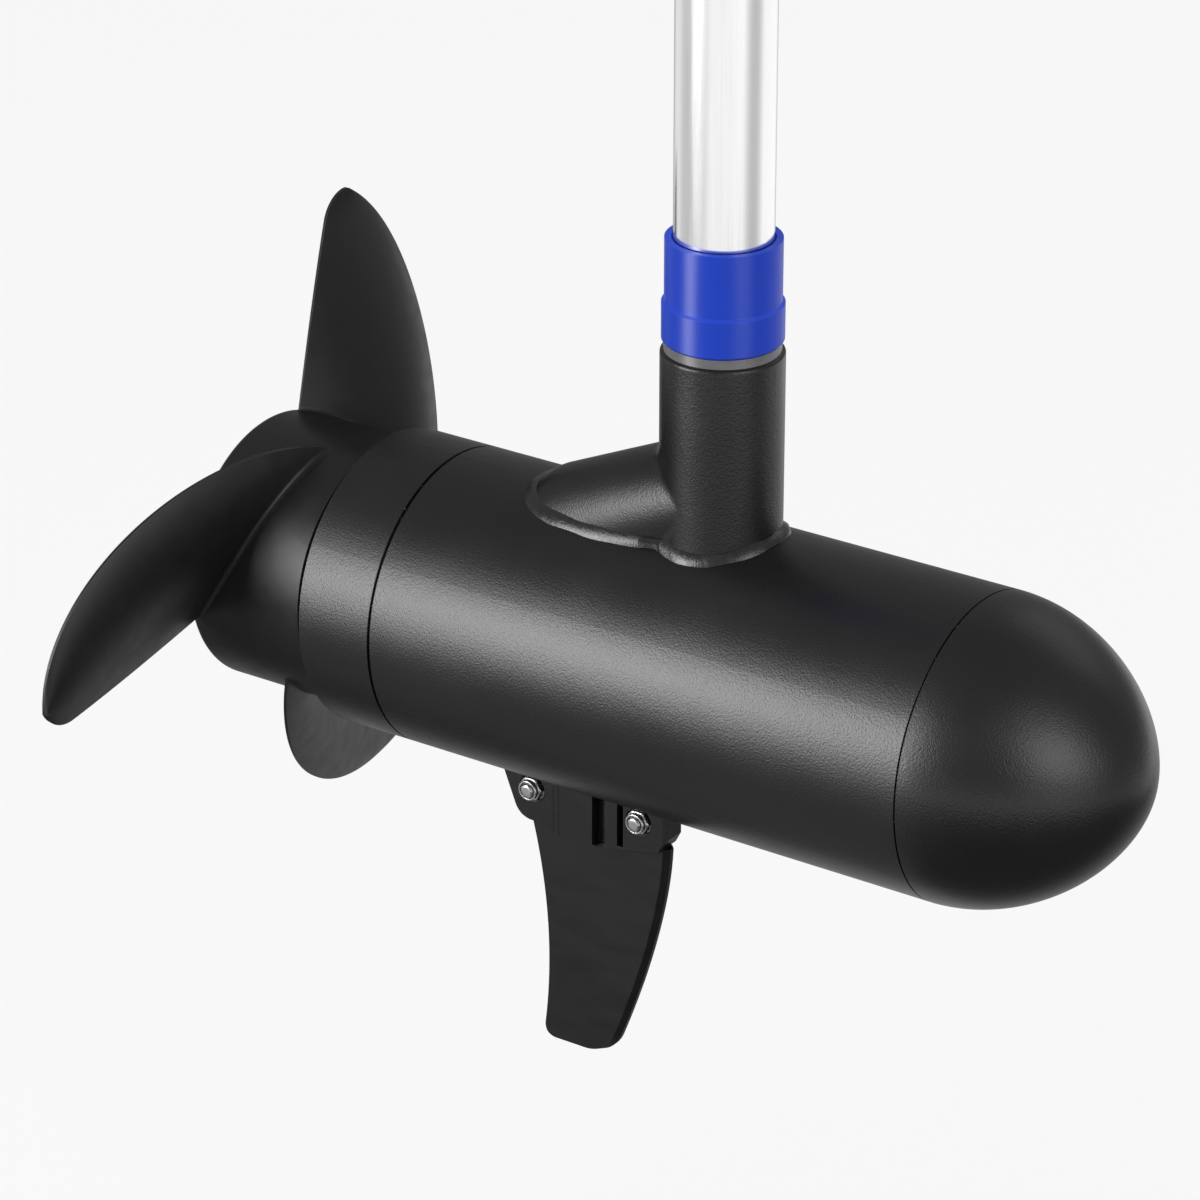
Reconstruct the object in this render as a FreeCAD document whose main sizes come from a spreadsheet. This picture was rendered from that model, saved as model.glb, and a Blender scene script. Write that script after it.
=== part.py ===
import FreeCAD, Part

import math
import os
import re

import Sketcher

# Electric outboard motor, lower unit. Millimetres, +Z up the column, +X towards the nose.
# The origin is the centre of the column tube's top end. Lengths along the motor are counted
# from the column's axis, and heights from the motor's axis, which lies axis_drop below the origin.

V = FreeCAD.Vector
X_AXIS = V(1, 0, 0)
Y_AXIS = V(0, 1, 0)
Z_AXIS = V(0, 0, 1)

# Driving dimensions: each size that can be set by itself is written once, here.
DIMENSIONS = {
    # column tube, bush and ring
    "axis_drop": 315.0,
    "tube_radius": 20.0,
    "tube_wall": 3.0,
    "tube_seat_cut": 0.6,
    "tube_seat_depth": 57.3,
    "bush_foot_height": 145.2,
    "bush_lower_length": 17.1,
    "bush_upper_length": 25.9,
    "bush_upper_radius": 23.4,
    "bush_lower_radius": 24.5,
    "bush_bevel": 1.0,
    "bush_mouth_gap": 0.7,
    "bush_mouth_depth": 1.5,
    "ring_radius": 23.5,
    "ring_thickness": 3.9,
    # strut
    "strut_radius": 25.0,
    "strut_rim_round": 1.5,
    "leg_radius": 24.5,
    "leg_reach": 66.0,
    "leg_sink": 13.5,
    "leg_slope": 24.0,
    "leg_blend": 8.0,
    "cable_passage_radius": 8.0,
    "weld_leg": 4.2,
    # housing, nose and cap
    "housing_radius": 64.0,
    "housing_wall": 4.0,
    "housing_rear": 130.0,
    "housing_front": 122.0,
    "seam_bevel": 0.4,
    "nose_length": 75.5,
    "nose_fullness": 1.9,
    "nose_roundness": 1.7,
    "nose_wall": 4.5,
    "cap_length": 36.0,
    "cap_disc": 16.0,
    "cap_boss_wall": 6.0,
    "spigot_length": 14.0,
    "spigot_wall": 11.0,
    "spigot_clearance": 0.05,
    "o_ring_section": 2.5,
    "o_ring_groove_depth": 2.1,
    "o_ring_inset": 4.2,
    # bolts along the housing
    "bolt_count": 4,
    "bolt_radius": 2.5,
    "bolt_clearance": 0.3,
    "bolt_thread_depth": 14.0,
    "bolt_head_radius": 4.25,
    "bolt_head_height": 5.0,
    "bolt_head_recess": 1.0,
    "bolt_end_gap": 1.5,
    "thread_play": 0.02,
    "bolt_socket_flats": 4.0,
    "bolt_socket_depth": 2.5,
    "bolt_seal_thickness": 1.0,
    # shaft and bearings
    "shaft_radius": 9.0,
    "shaft_front_journal_radius": 7.5,
    "shaft_rear_journal_radius": 8.5,
    "shaft_propeller_seat_radius": 8.0,
    "shaft_thread_radius": 6.0,
    "shaft_thread_length": 17.0,
    "shaft_front_gap": 0.5,
    "propeller_seat_inset": 8.0,
    "front_bearing_outer_radius": 17.5,
    "front_bearing_width": 11.0,
    "front_ball_radius": 3.0,
    "front_ball_count": 8,
    "rear_bearing_outer_radius": 20.0,
    "rear_bearing_width": 12.0,
    "rear_ball_radius": 3.4,
    "rear_ball_count": 8,
    "race_wall": 2.6,
    "ball_clearance": 0.03,
    "cage_thickness": 1.2,
    "circlip_thickness": 1.5,
    "circlip_groove_depth": 1.0,
    "circlip_width": 2.8,
    "circlip_gap": 5.0,
    "circlip_eye_radius": 2.0,
    "circlip_eye_hole_radius": 0.8,
    "seal_outer_radius": 16.0,
    "seal_width": 6.5,
    "seal_gap": 0.2,
    "seal_shoulder": 3.0,
    "seal_case_wall": 1.8,
    "seal_lip_width": 2.2,
    "running_clearance": 0.05,
    "wave_washer_thickness": 0.8,
    # stator and rotor
    "stator_front": -44.0,
    "stack_length": 64.0,
    "back_iron": 10.5,
    "tooth_height": 12.0,
    "slot_count": 12,
    "slot_lip": 2.0,
    "slot_opening": 3.0,
    "tooth_width": 9.0,
    "bobbin_wall": 0.6,
    "coil_width": 4.0,
    "coil_gap": 0.3,
    "magnet_count": 10,
    "magnet_thickness": 4.4,
    "magnet_cover": 0.88,
    "magnet_end_gap": 1.0,
    "air_gap": 0.9,
    "rotor_sleeve_wall": 0.5,
    "rotor_hole_count": 6,
    "rotor_hole_radius": 5.5,
    "key_width": 5.0,
    "key_length": 40.0,
    "sensor_board_thickness": 1.6,
    "sensor_board_gap": 8.0,
    "sensor_board_overhang": 1.5,
    "sensor_spacer_radius": 1.6,
    "sensor_count": 3,
    "sensor_spacing": 20.0,
    "sensor_thickness": 1.5,
    "sensor_width": 4.0,
    "sensor_length": 3.2,
    # front plate, controller and wiring
    "front_plate_front": -14.0,
    "front_plate_thickness": 13.0,
    "front_hub_wall": 6.5,
    "front_web_thickness": 6.0,
    "front_rim_width": 12.0,
    "bearing_lip": 2.5,
    "controller_plate_rear": 84.0,
    "controller_plate_thickness": 8.0,
    "controller_board_gap": 8.4,
    "board_to_bolt_gap": 6.0,
    "transistor_count": 6,
    "transistor_height": 4.6,
    "transistor_width": 10.0,
    "transistor_length": 15.0,
    "transistor_inset": 14.0,
    "transistor_leg_pitch": 2.5,
    "capacitor_radius": 8.0,
    "capacitor_height": 30.0,
    "capacitor_circle_radius": 30.0,
    "standoff_radius": 3.0,
    "standoff_inset": 6.0,
    "lead_radius": 2.2,
    "lead_play": 0.3,
    "lead_inset": 6.0,
    "lead_spacing": 16.0,
    "supply_cable_radius": 4.5,
    "supply_cable_height": 16.0,
    "terminal_length": 14.0,
    "terminal_width": 18.0,
    "terminal_round": 1.5,
    "cable_play": 0.05,
    "connector_depth": 38.0,
    "connector_length": 30.0,
    "connector_radius": 13.0,
    "connector_wall": 2.0,
    "connector_tail_length": 8.0,
    "connector_socket_depth": 8.0,
    "connector_entry": 4.0,
    "connector_pin_count": 5,
    "connector_pin_radius": 1.1,
    "connector_pin_length": 6.5,
    "connector_pin_circle": 6.5,
    "grommet_flange": 2.0,
    "grommet_gap": 0.3,
    "grommet_rise": 5.0,
    # propeller
    "hub_radius": 58.0,
    "hub_wall": 4.0,
    "hub_gap": 1.2,
    "hub_lip_length": 1.5,
    "hub_flare_length": 14.0,
    "hub_rear": 230.0,
    "hub_rear_round": 4.0,
    "hub_boss_radius": 15.0,
    "hub_boss_overhang": 5.0,
    "hub_rib_count": 6,
    "hub_rib_thickness": 3.0,
    "hub_nut_pocket_radius": 17.0,
    "hub_nut_pocket_depth": 8.0,
    "blade_count": 3,
    "blade_tip_radius": 155.7,
    "blade_root_chord": 96.0,
    "blade_outline_power": 1.75,
    "blade_tip_angle": 73.0,
    "blade_trailing_station": -225.3,
    "blade_tip_station": -229.5,
    "blade_rake": 43.2,
    "blade_rake_power": 1.32,
    "blade_camber": 5.0,
    "blade_root_thickness": 6.0,
    "blade_tip_thickness": 2.6,
    "blade_edge_thickness": 1.4,
    "blade_root_fillet": 2.0,
    "blade_corner_radius": 9.0,
    "drive_pin_radius": 2.5,
    "drive_pin_overhang": 4.0,
    "drive_pin_station": -186.0,
    "drive_pin_play": 0.2,
    "propeller_washer_radius": 12.0,
    "propeller_washer_thickness": 2.0,
    "propeller_nut_flats": 18.0,
    "propeller_nut_height": 10.0,
    "nut_collar_height": 2.0,
    "nut_collar_inset": 0.5,
    # skeg: drops count from the housing's underside
    "bracket_thickness": 4.0,
    "bracket_rear": 102.0,
    "bracket_lean": 10.0,
    "bracket_front": 27.0,
    "bracket_drop": 22.5,
    "skeg_fit": 0.2,
    "skeg_head_thickness": 14.0,
    "skeg_ear_rear": 107.0,
    "skeg_ear_lean": 11.8,
    "skeg_ear_drop": 27.2,
    "skeg_ear_round": 6.5,
    "skeg_ear_step": 0.4,
    "skeg_cheek_rear": 81.4,
    "skeg_cheek_drop": 30.2,
    "skeg_slot_rear": 58.0,
    "skeg_slot_width": 6.5,
    "skeg_rib_width": 6.1,
    "skeg_notch_width": 3.1,
    "skeg_notch_drop": 26.5,
    "skeg_slot_depth": 5.0,
    "skeg_block_front": 22.6,
    "skeg_block_drop": 24.3,
    "skeg_block_slant": 2.6,
    "skeg_block_rise": 5.0,
    "skeg_thickness": 7.0,
    "skeg_bevel": 2.4,
    "skeg_drop": 130.7,
    "skeg_waist_rear": 82.5,
    "skeg_waist_drop": 92.0,
    "skeg_rear_curve": 250.0,
    "skeg_rear_round": 7.0,
    "skeg_front": 22.3,
    "skeg_sweep": 28.8,
    "skeg_sweep_power": 1.55,
    "skeg_front_round": 10.8,
    "skeg_bolt_rear": 88.8,
    "skeg_bolt_front": 34.6,
    "skeg_bolt_drop": 11.9,
    "skeg_bolt_radius": 3.0,
    "skeg_bolt_clearance": 0.2,
    "skeg_bolt_head_height": 4.0,
    "skeg_bolt_overhang": 0.8,
    "skeg_recess_radius": 6.3,
    "skeg_recess_depth": 3.4,
    "skeg_nut_flats": 10.0,
    "skeg_nut_height": 6.0,
    "skeg_washer_radius": 6.0,
    "skeg_washer_thickness": 0.8,
}


# Document, sheet and expressions

def make_sheet(doc):
    sheet = doc.addObject("Spreadsheet::Sheet", "Dimensions")
    for row, (name, value) in enumerate(DIMENSIONS.items(), 1):
        sheet.set(f"A{row}", name)
        sheet.set(f"B{row}", str(value))
        sheet.setAlias(f"B{row}", name)
    doc.recompute()
    return sheet


doc = FreeCAD.newDocument("outboard_lower_unit")
sheet = make_sheet(doc)

# Sizes that follow from the driving ones, as expressions on the sheet's names.
SEAT = "(tube_radius - tube_seat_cut)"
RING_FOOT = "(bush_foot_height - ring_thickness)"
BUSH_STEP = "(bush_foot_height + bush_lower_length)"
BUSH_TOP = f"({BUSH_STEP} + bush_upper_length)"
TUBE_FOOT = f"({RING_FOOT} - tube_seat_depth)"
BORE = "(housing_radius - housing_wall)"
SPIGOT = f"({BORE} - spigot_clearance)"
BOLT_CIRCLE = f"({BORE} - spigot_wall / 2)"
CAP_REAR = "(-housing_rear - cap_length)"
HUB_FRONT = f"({CAP_REAR} - hub_gap)"
SLOT_FLOOR = f"({BORE} - back_iron)"
STATOR_BORE = f"({SLOT_FLOOR} - tooth_height)"
STACK_REAR = "(stator_front - stack_length)"
STACK_MIDDLE = "(stator_front - stack_length / 2)"
MAGNET_OUTER = f"({STATOR_BORE} - air_gap - rotor_sleeve_wall)"
ROTOR_RADIUS = f"({MAGNET_OUTER} - magnet_thickness)"
LEAD_CIRCLE = f"({SLOT_FLOOR} - lead_inset)"
PLATE_REAR = "(front_plate_front - front_plate_thickness)"
FRONT_BEARING = f"({PLATE_REAR} + wave_washer_thickness + 1)"
REAR_BEARING = f"({CAP_REAR} + cap_disc)"
CIRCLIP_REAR = f"({REAR_BEARING} + rear_bearing_width)"
HEAD_SEAT = f"({CAP_REAR} + bolt_head_height + bolt_seal_thickness + bolt_head_recess)"
BOLT_END = "(controller_plate_rear + controller_plate_thickness + bolt_thread_depth)"
BOARD_FRONT = "(controller_plate_rear - controller_board_gap)"
BOARD_REAR = f"({BOARD_FRONT} - sensor_board_thickness)"
BOARD_RADIUS = f"({BOLT_CIRCLE} - bolt_radius - board_to_bolt_gap)"
CONNECTOR_FOOT = "(axis_drop - connector_depth - connector_length)"
NUT_FLOOR = "(-hub_rear + hub_nut_pocket_depth)"
SKEG_ABOVE = "(-housing_radius + 3)"
FIN_TOP = "(-housing_radius - skeg_ear_drop + 3)"
FIN_FOOT = "(-housing_radius - skeg_drop)"
BRACKET_FOOT = "(-housing_radius - bracket_drop)"
SKEG_BOLT_HEIGHT = "(-housing_radius - skeg_bolt_drop)"

# Small fixed allowances: play of pressed pieces, and the overrun of every cutting tool.
PRESS_PLAY = 0.02
OVERRUN = 1.0
CAGE_RIM = 1.2
BLEND_REACH = 3.2


def bound(text):
    """The expression with each driving dimension's name pointed at the sheet."""
    return re.sub(r"[a-z]\w*", lambda m: f"Dimensions.{m[0]}" if m[0] in DIMENSIONS else m[0], text)


def size(text):
    """The expression's value now."""
    return float(sheet.evalExpression(bound(text)))


def count(name):
    return int(round(size(name)))


# Sketches: each corner is a pair of expressions, and may carry the curve that leaves it

def origin_plane(body, role):
    return [item for item in body.Origin.OriginFeatures if item.Role == role][0]


def pin_point(sketch, edge, end, x, y):
    """Hold an edge's end at the place that its two expressions give."""
    for kind, text, axis in (("DistanceX", x, -2), ("DistanceY", y, -1)):
        if text == "0":
            sketch.addConstraint(Sketcher.Constraint("PointOnObject", edge, end, axis))
            continue
        index = sketch.addConstraint(Sketcher.Constraint(kind, -1, 1, edge, end, size(text)))
        sketch.setExpression(f"Constraints[{index}]", bound(text))


def draw_outline(sketch, corners):
    """Closed outline of edges. A corner is (x, y) or (x, y, inner points of a smooth edge)."""
    first = sketch.GeometryCount
    total = len(corners)
    for i, corner in enumerate(corners):
        here = V(size(corner[0]), size(corner[1]), 0)
        after = corners[(i + 1) % total]
        there = V(size(after[0]), size(after[1]), 0)
        if len(corner) == 2:
            sketch.addGeometry(Part.LineSegment(here, there), False)
        else:
            curve = Part.BSplineCurve()
            curve.interpolate([here] + [V(x, y, 0) for x, y in corner[2]] + [there])
            sketch.addGeometry(curve, False)
    for i, corner in enumerate(corners):
        joint = ("Coincident", first + i, 2, first + (i + 1) % total, 1)
        sketch.addConstraint(Sketcher.Constraint(*joint))
        if len(corner) == 2:
            pin_point(sketch, first + i, 1, corner[0], corner[1])
        elif len(corners[i - 1]) == 2:
            pin_point(sketch, (first + i - 1) if i else first + total - 1, 2, corner[0], corner[1])


def add_sketch(body, role, *outlines, circles=()):
    """Sketch on one of the body's own origin planes."""
    sketch = body.newObject("Sketcher::SketchObject", body.Label + "_sketch")
    sketch.AttachmentSupport = (origin_plane(body, role), [""])
    sketch.MapMode = "FlatFace"
    for corners in outlines:
        draw_outline(sketch, corners)
    for x, y, radius in circles:
        edge = sketch.addGeometry(Part.Circle(V(size(x), size(y), 0), Z_AXIS, size(radius)), False)
        pin_point(sketch, edge, 3, x, y)
        index = sketch.addConstraint(Sketcher.Constraint("Radius", edge, size(radius)))
        sketch.setExpression(f"Constraints[{index}]", bound(radius))
    doc.recompute()
    return sketch


def new_body(label):
    body = doc.addObject("PartDesign::Body", label)
    body.Label = label
    body.setExpression("Placement.Base.z", bound("-axis_drop"))
    return body


def turn(body, corners, axis="H_Axis"):
    """Add a turned form: H_Axis is the motor's axis, V_Axis the column's."""
    sketch = add_sketch(body, "XZ_Plane", corners)
    feature = body.newObject("PartDesign::Revolution", body.Label + "_turned")
    feature.Profile = sketch
    feature.ReferenceAxis = (sketch, [axis])
    feature.Angle = 360
    doc.recompute()
    return feature


def cut_turned(body, corners, axis="H_Axis"):
    """Turn a groove out of the body."""
    sketch = add_sketch(body, "XZ_Plane", corners)
    feature = body.newObject("PartDesign::Groove", body.Label + "_groove")
    feature.Profile = sketch
    feature.ReferenceAxis = (sketch, [axis])
    feature.Angle = 360
    doc.recompute()
    return feature


def turned_body(label, corners, axis="H_Axis"):
    body = new_body(label)
    turn(body, corners, axis)
    return body


def ring_corners(rear, front, inner, outer):
    return [(rear, inner), (rear, outer), (front, outer), (front, inner)]


def solid_feature(label, shape):
    """A piece whose shape is computed here in the motor's own heights, then dropped into place."""
    feature = doc.addObject("Part::Feature", label)
    feature.Label = label
    feature.Shape = shape
    feature.Placement = FreeCAD.Placement(V(0, 0, -size("axis_drop")), FreeCAD.Rotation())
    return feature


def along_motor(radius, rear, front, y=0.0, z=0.0):
    """Cylinder parallel to the motor's axis."""
    return Part.makeCylinder(radius, front - rear, V(rear, y, z), X_AXIS)


def tube_along_motor(inner, outer, rear, front):
    return along_motor(outer, rear, front).cut(along_motor(inner, rear - 1, front + 1))


def ringed(shape, copies, start=0.0):
    """Copies of a shape spaced evenly about the motor's axis."""
    placed = []
    for i in range(copies):
        copy = shape.copy()
        copy.rotate(V(0, 0, 0), X_AXIS, start + 360.0 * i / copies)
        placed.append(copy)
    return placed


def hex_prism(flats, height, base, direction):
    """Hexagonal prism given by the distance across its flats."""
    corner = flats / math.sqrt(3)
    points = [V(corner * math.cos(math.radians(a)), corner * math.sin(math.radians(a)), 0)
              for a in range(0, 361, 60)]
    prism = Part.Face(Part.makePolygon(points)).extrude(V(0, 0, height))
    prism.Placement = FreeCAD.Placement(base, FreeCAD.Rotation(Z_AXIS, direction))
    return prism


# Column

def column_tube():
    wall_bore = "tube_radius - tube_wall"
    shoulder = BUSH_TOP + " + 4 * running_clearance"
    turned_body("column_tube", [
        (wall_bore, TUBE_FOOT),
        (SEAT, TUBE_FOOT),
        (SEAT, shoulder),
        ("tube_radius", shoulder),
        ("tube_radius", "axis_drop"),
        (wall_bore, "axis_drop"),
    ], "V_Axis")


def steering_bush():
    bore = SEAT + " + running_clearance"
    mouth = "tube_radius + bush_mouth_gap"
    foot = "bush_foot_height + running_clearance"
    turned_body("steering_bush", [
        (bore, foot),
        ("bush_lower_radius - bush_bevel", foot),
        ("bush_lower_radius", foot + " + bush_bevel"),
        ("bush_lower_radius", BUSH_STEP + " - bush_lower_radius + bush_upper_radius"),
        ("bush_upper_radius", BUSH_STEP),
        ("bush_upper_radius", BUSH_TOP),
        (mouth, BUSH_TOP),
        (mouth, BUSH_TOP + " - bush_mouth_depth"),
        (bore, BUSH_TOP + " - bush_mouth_depth"),
    ], "V_Axis")


def thrust_ring():
    bore = SEAT + " + running_clearance"
    turned_body("thrust_ring", [
        (bore, RING_FOOT),
        ("ring_radius", RING_FOOT),
        ("ring_radius", "bush_foot_height"),
        (bore, "bush_foot_height"),
    ], "V_Axis")


# Strut

def leg_direction():
    slope = math.radians(size("leg_slope"))
    return V(math.cos(slope), 0, math.sin(slope))


def strut_outside():
    """Upright post and raked rear fairing of the casting, blended where they meet."""
    radius = size("strut_radius")
    top = size(RING_FOOT)
    post = Part.makeCylinder(radius, top)
    reach = size("leg_reach")
    foot = V(-reach, 0, size("housing_radius - leg_sink"))
    heading = leg_direction()
    leg_radius = size("leg_radius")
    leg = Part.makeCylinder(leg_radius, reach / heading.x, foot, heading)
    leg = leg.fuse(Part.makeSphere(leg_radius, foot))
    whole = post.fuse(leg).removeSplitter()
    seam = []
    for edge in whole.Edges:
        spot = edge.valueAt((edge.FirstParameter + edge.LastParameter) / 2) - foot
        from_leg = (spot - heading * spot.dot(heading)).Length
        from_post = math.hypot(spot.x + foot.x, spot.y)
        if abs(from_leg - leg_radius) < 0.01 and abs(from_post - radius) < 0.01:
            seam.append(edge)
    whole = whole.makeFillet(size("leg_blend"), seam)
    rim = [edge for edge in whole.Edges if abs(edge.BoundBox.ZMin - top) < 0.01]
    return whole.makeFillet(size("strut_rim_round"), rim)


def housing_cylinder(extra=0.0):
    return along_motor(size("housing_radius") + extra, -size("housing_rear"), size("housing_front"))


def strut():
    socket = Part.makeCylinder(size(SEAT + " + running_clearance"), size(RING_FOOT),
                               V(0, 0, size(TUBE_FOOT)))
    passage = Part.makeCylinder(size("cable_passage_radius"), size("axis_drop"))
    shape = strut_outside().cut(housing_cylinder()).cut(socket).cut(passage)
    solid_feature("strut", shape)


def strut_weld():
    """Bead in the corner between strut and housing, as the bevel of their joined forms."""
    joined = housing_cylinder().fuse(strut_outside())
    radius = size("housing_radius")
    corner = []
    for edge in joined.Edges:
        spots = [edge.valueAt(edge.FirstParameter + (edge.LastParameter - edge.FirstParameter) * s)
                 for s in (0.2, 0.5, 0.8)]
        on_housing = all(abs(math.hypot(p.y, p.z) - radius) < 0.02 for p in spots)
        if on_housing and edge.BoundBox.ZMin > 0 and edge.BoundBox.XLength < 2 * radius:
            corner.append(edge)
    bead = joined.makeChamfer(size("weld_leg"), corner).cut(joined)
    solid_feature("strut_weld", max(bead.Solids, key=lambda piece: piece.Volume))


# Housing, nose and rear cap

def motor_housing():
    rear = "-housing_rear"
    body = turned_body("motor_housing", [
        (rear, BORE),
        (rear, "housing_radius - seam_bevel"),
        (rear + " + seam_bevel", "housing_radius"),
        ("housing_front - seam_bevel", "housing_radius"),
        ("housing_front", "housing_radius - seam_bevel"),
        ("housing_front", BORE),
    ])
    sketch = add_sketch(body, "XY_Plane", circles=[("0", "0", "cable_passage_radius")])
    hole = body.newObject("PartDesign::Pocket", "cable_hole")
    hole.Profile = sketch
    hole.Reversed = True
    hole.setExpression("Length", bound("1.1 * housing_radius"))
    doc.recompute()


def nose_radius(share, radius):
    return radius * (1 - share ** size("nose_fullness")) ** (1 / size("nose_roundness"))


def nose_edge(length, radius, forwards):
    """Inner points of the nose's curve between its seam and its tip."""
    shares = [math.sin(math.radians(a)) for a in (15, 30, 43, 54, 64, 73, 80, 86)]
    front = size("housing_front")
    points = [(front + length * s, nose_radius(s, radius)) for s in shares]
    return points if forwards else points[::-1]


def cut_o_ring_groove(body, seam, sign):
    """Square groove in a spigot, set back from the seam that the spigot enters by."""
    near = f"{seam} {sign} o_ring_inset"
    far = f"{seam} {sign} (o_ring_inset + 1.1 * o_ring_section)"
    floor = SPIGOT + " - o_ring_groove_depth"
    cut_turned(body, ring_corners(near, far, floor, SPIGOT + " + 1"))


def nose_cone():
    wall = size("nose_wall")
    outer = nose_edge(size("nose_length"), size("housing_radius"), True)
    inner = nose_edge(size("nose_length") - wall, size("housing_radius") - wall, False)
    spigot_rear = "controller_plate_rear + controller_plate_thickness"
    spigot_inner = SPIGOT + " - spigot_wall"
    body = turned_body("nose_cone", [
        (spigot_rear, spigot_inner),
        (spigot_rear, SPIGOT),
        ("housing_front", SPIGOT),
        ("housing_front", "housing_radius - seam_bevel"),
        ("housing_front + seam_bevel", "housing_radius", outer),
        ("housing_front + nose_length", "0"),
        ("housing_front + nose_length - nose_wall", "0", inner),
        ("housing_front", "housing_radius - nose_wall"),
        ("housing_front", spigot_inner),
    ])
    cut_o_ring_groove(body, "housing_front", "-")
    add_bolt_holes(body, spigot_rear, "bolt_thread_depth", "bolt_radius", True)


def bolt_spots():
    """Places of the long bolts on their circle, between the strut and the skeg."""
    total = count("bolt_count")
    return [(math.cos(math.radians(45 + 360 * i / total)), math.sin(math.radians(45 + 360 * i / total)))
            for i in range(total)]


def add_bolt_holes(body, start, depth, radius, forwards):
    """Holes for the long bolts, cut from a plane across the motor's axis."""
    circles = [(f"{c:.9f} * {BOLT_CIRCLE}", f"{s:.9f} * {BOLT_CIRCLE}", radius)
               for c, s in bolt_spots()]
    sketch = add_sketch(body, "YZ_Plane", circles=circles)
    sketch.AttachmentOffset = FreeCAD.Placement(V(0, 0, size(start)), FreeCAD.Rotation())
    sketch.setExpression("AttachmentOffset.Base.z", bound(start))
    holes = body.newObject("PartDesign::Pocket", body.Label + "_bolt_holes")
    holes.Profile = sketch
    holes.Reversed = forwards
    holes.setExpression("Length", bound(depth))
    doc.recompute()


def rear_cap():
    seam = "-housing_rear"
    inner = SPIGOT + " - spigot_wall"
    disc = REAR_BEARING
    boss_front = CIRCLIP_REAR + " + 2 * circlip_thickness"
    boss_outer = "rear_bearing_outer_radius + cap_boss_wall"
    shoulder = "seal_outer_radius - seal_shoulder"
    seal_front = CAP_REAR + " + 2 * seal_width"
    body = turned_body("rear_cap", [
        (CAP_REAR, "seal_outer_radius"),
        (CAP_REAR, "housing_radius - seam_bevel"),
        (CAP_REAR + " + seam_bevel", "housing_radius"),
        (seam + " - seam_bevel", "housing_radius"),
        (seam, "housing_radius - seam_bevel"),
        (seam, SPIGOT),
        (seam + " + spigot_length", SPIGOT),
        (seam + " + spigot_length", inner),
        (disc, inner),
        (disc, boss_outer),
        (boss_front, boss_outer),
        (boss_front, "rear_bearing_outer_radius"),
        (disc, "rear_bearing_outer_radius"),
        (disc, shoulder),
        (seal_front, shoulder),
        (seal_front, "seal_outer_radius"),
    ])
    cut_o_ring_groove(body, seam, "+")
    cut_turned(body, ring_corners(CIRCLIP_REAR, CIRCLIP_REAR + " + circlip_thickness",
                                  "rear_bearing_outer_radius - circlip_groove_depth",
                                  "rear_bearing_outer_radius + circlip_groove_depth"))
    add_bolt_holes(body, CAP_REAR, "cap_length + spigot_length", "bolt_radius + bolt_clearance", True)
    add_bolt_holes(body, CAP_REAR, HEAD_SEAT + " - " + CAP_REAR, "bolt_head_radius + bolt_clearance", True)


def o_ring(label, seam, sign):
    """Rubber ring that fills its groove and lies against the housing's bore."""
    section = "(o_ring_groove_depth + spigot_clearance)"
    torus = doc.addObject("Part::Torus", label)
    torus.Label = label
    torus.setExpression("Radius2", bound(f"{section} / 2 - 0.01"))
    torus.setExpression("Radius1", bound(f"{BORE} - {section} / 2"))
    torus.Placement = FreeCAD.Placement(V(0, 0, 0), FreeCAD.Rotation(Y_AXIS, 90))
    torus.setExpression("Placement.Base.x", bound(f"{seam} {sign} (o_ring_inset + 0.55 * o_ring_section)"))
    torus.setExpression("Placement.Base.z", bound("-axis_drop"))


def through_bolts():
    """Long socket-head bolts from the cap's rear face into the nose's spigot."""
    seat = size(HEAD_SEAT)
    ring = size(BOLT_CIRCLE)
    radius = size("bolt_radius - thread_play")
    head_radius = size("bolt_head_radius")
    head_seat = seat - size("bolt_seal_thickness")
    face = head_seat - size("bolt_head_height")
    rod = along_motor(radius, head_seat, size(BOLT_END + " - bolt_end_gap"))
    head = along_motor(head_radius, face, head_seat)
    socket = hex_prism(size("bolt_socket_flats"), size("bolt_socket_depth"), V(face, 0, 0), X_AXIS)
    bolt = rod.fuse(head).removeSplitter().cut(socket)
    seal = tube_along_motor(size("bolt_radius"), head_radius, head_seat, seat)
    bolts = []
    seals = []
    for c, s in bolt_spots():
        for piece, group in ((bolt, bolts), (seal, seals)):
            copy = piece.copy()
            copy.translate(V(0, ring * c, ring * s))
            group.append(copy)
    solid_feature("through_bolts", Part.makeCompound(bolts))
    solid_feature("through_bolt_seals", Part.makeCompound(seals))


# Shaft, bearings and seals

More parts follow.
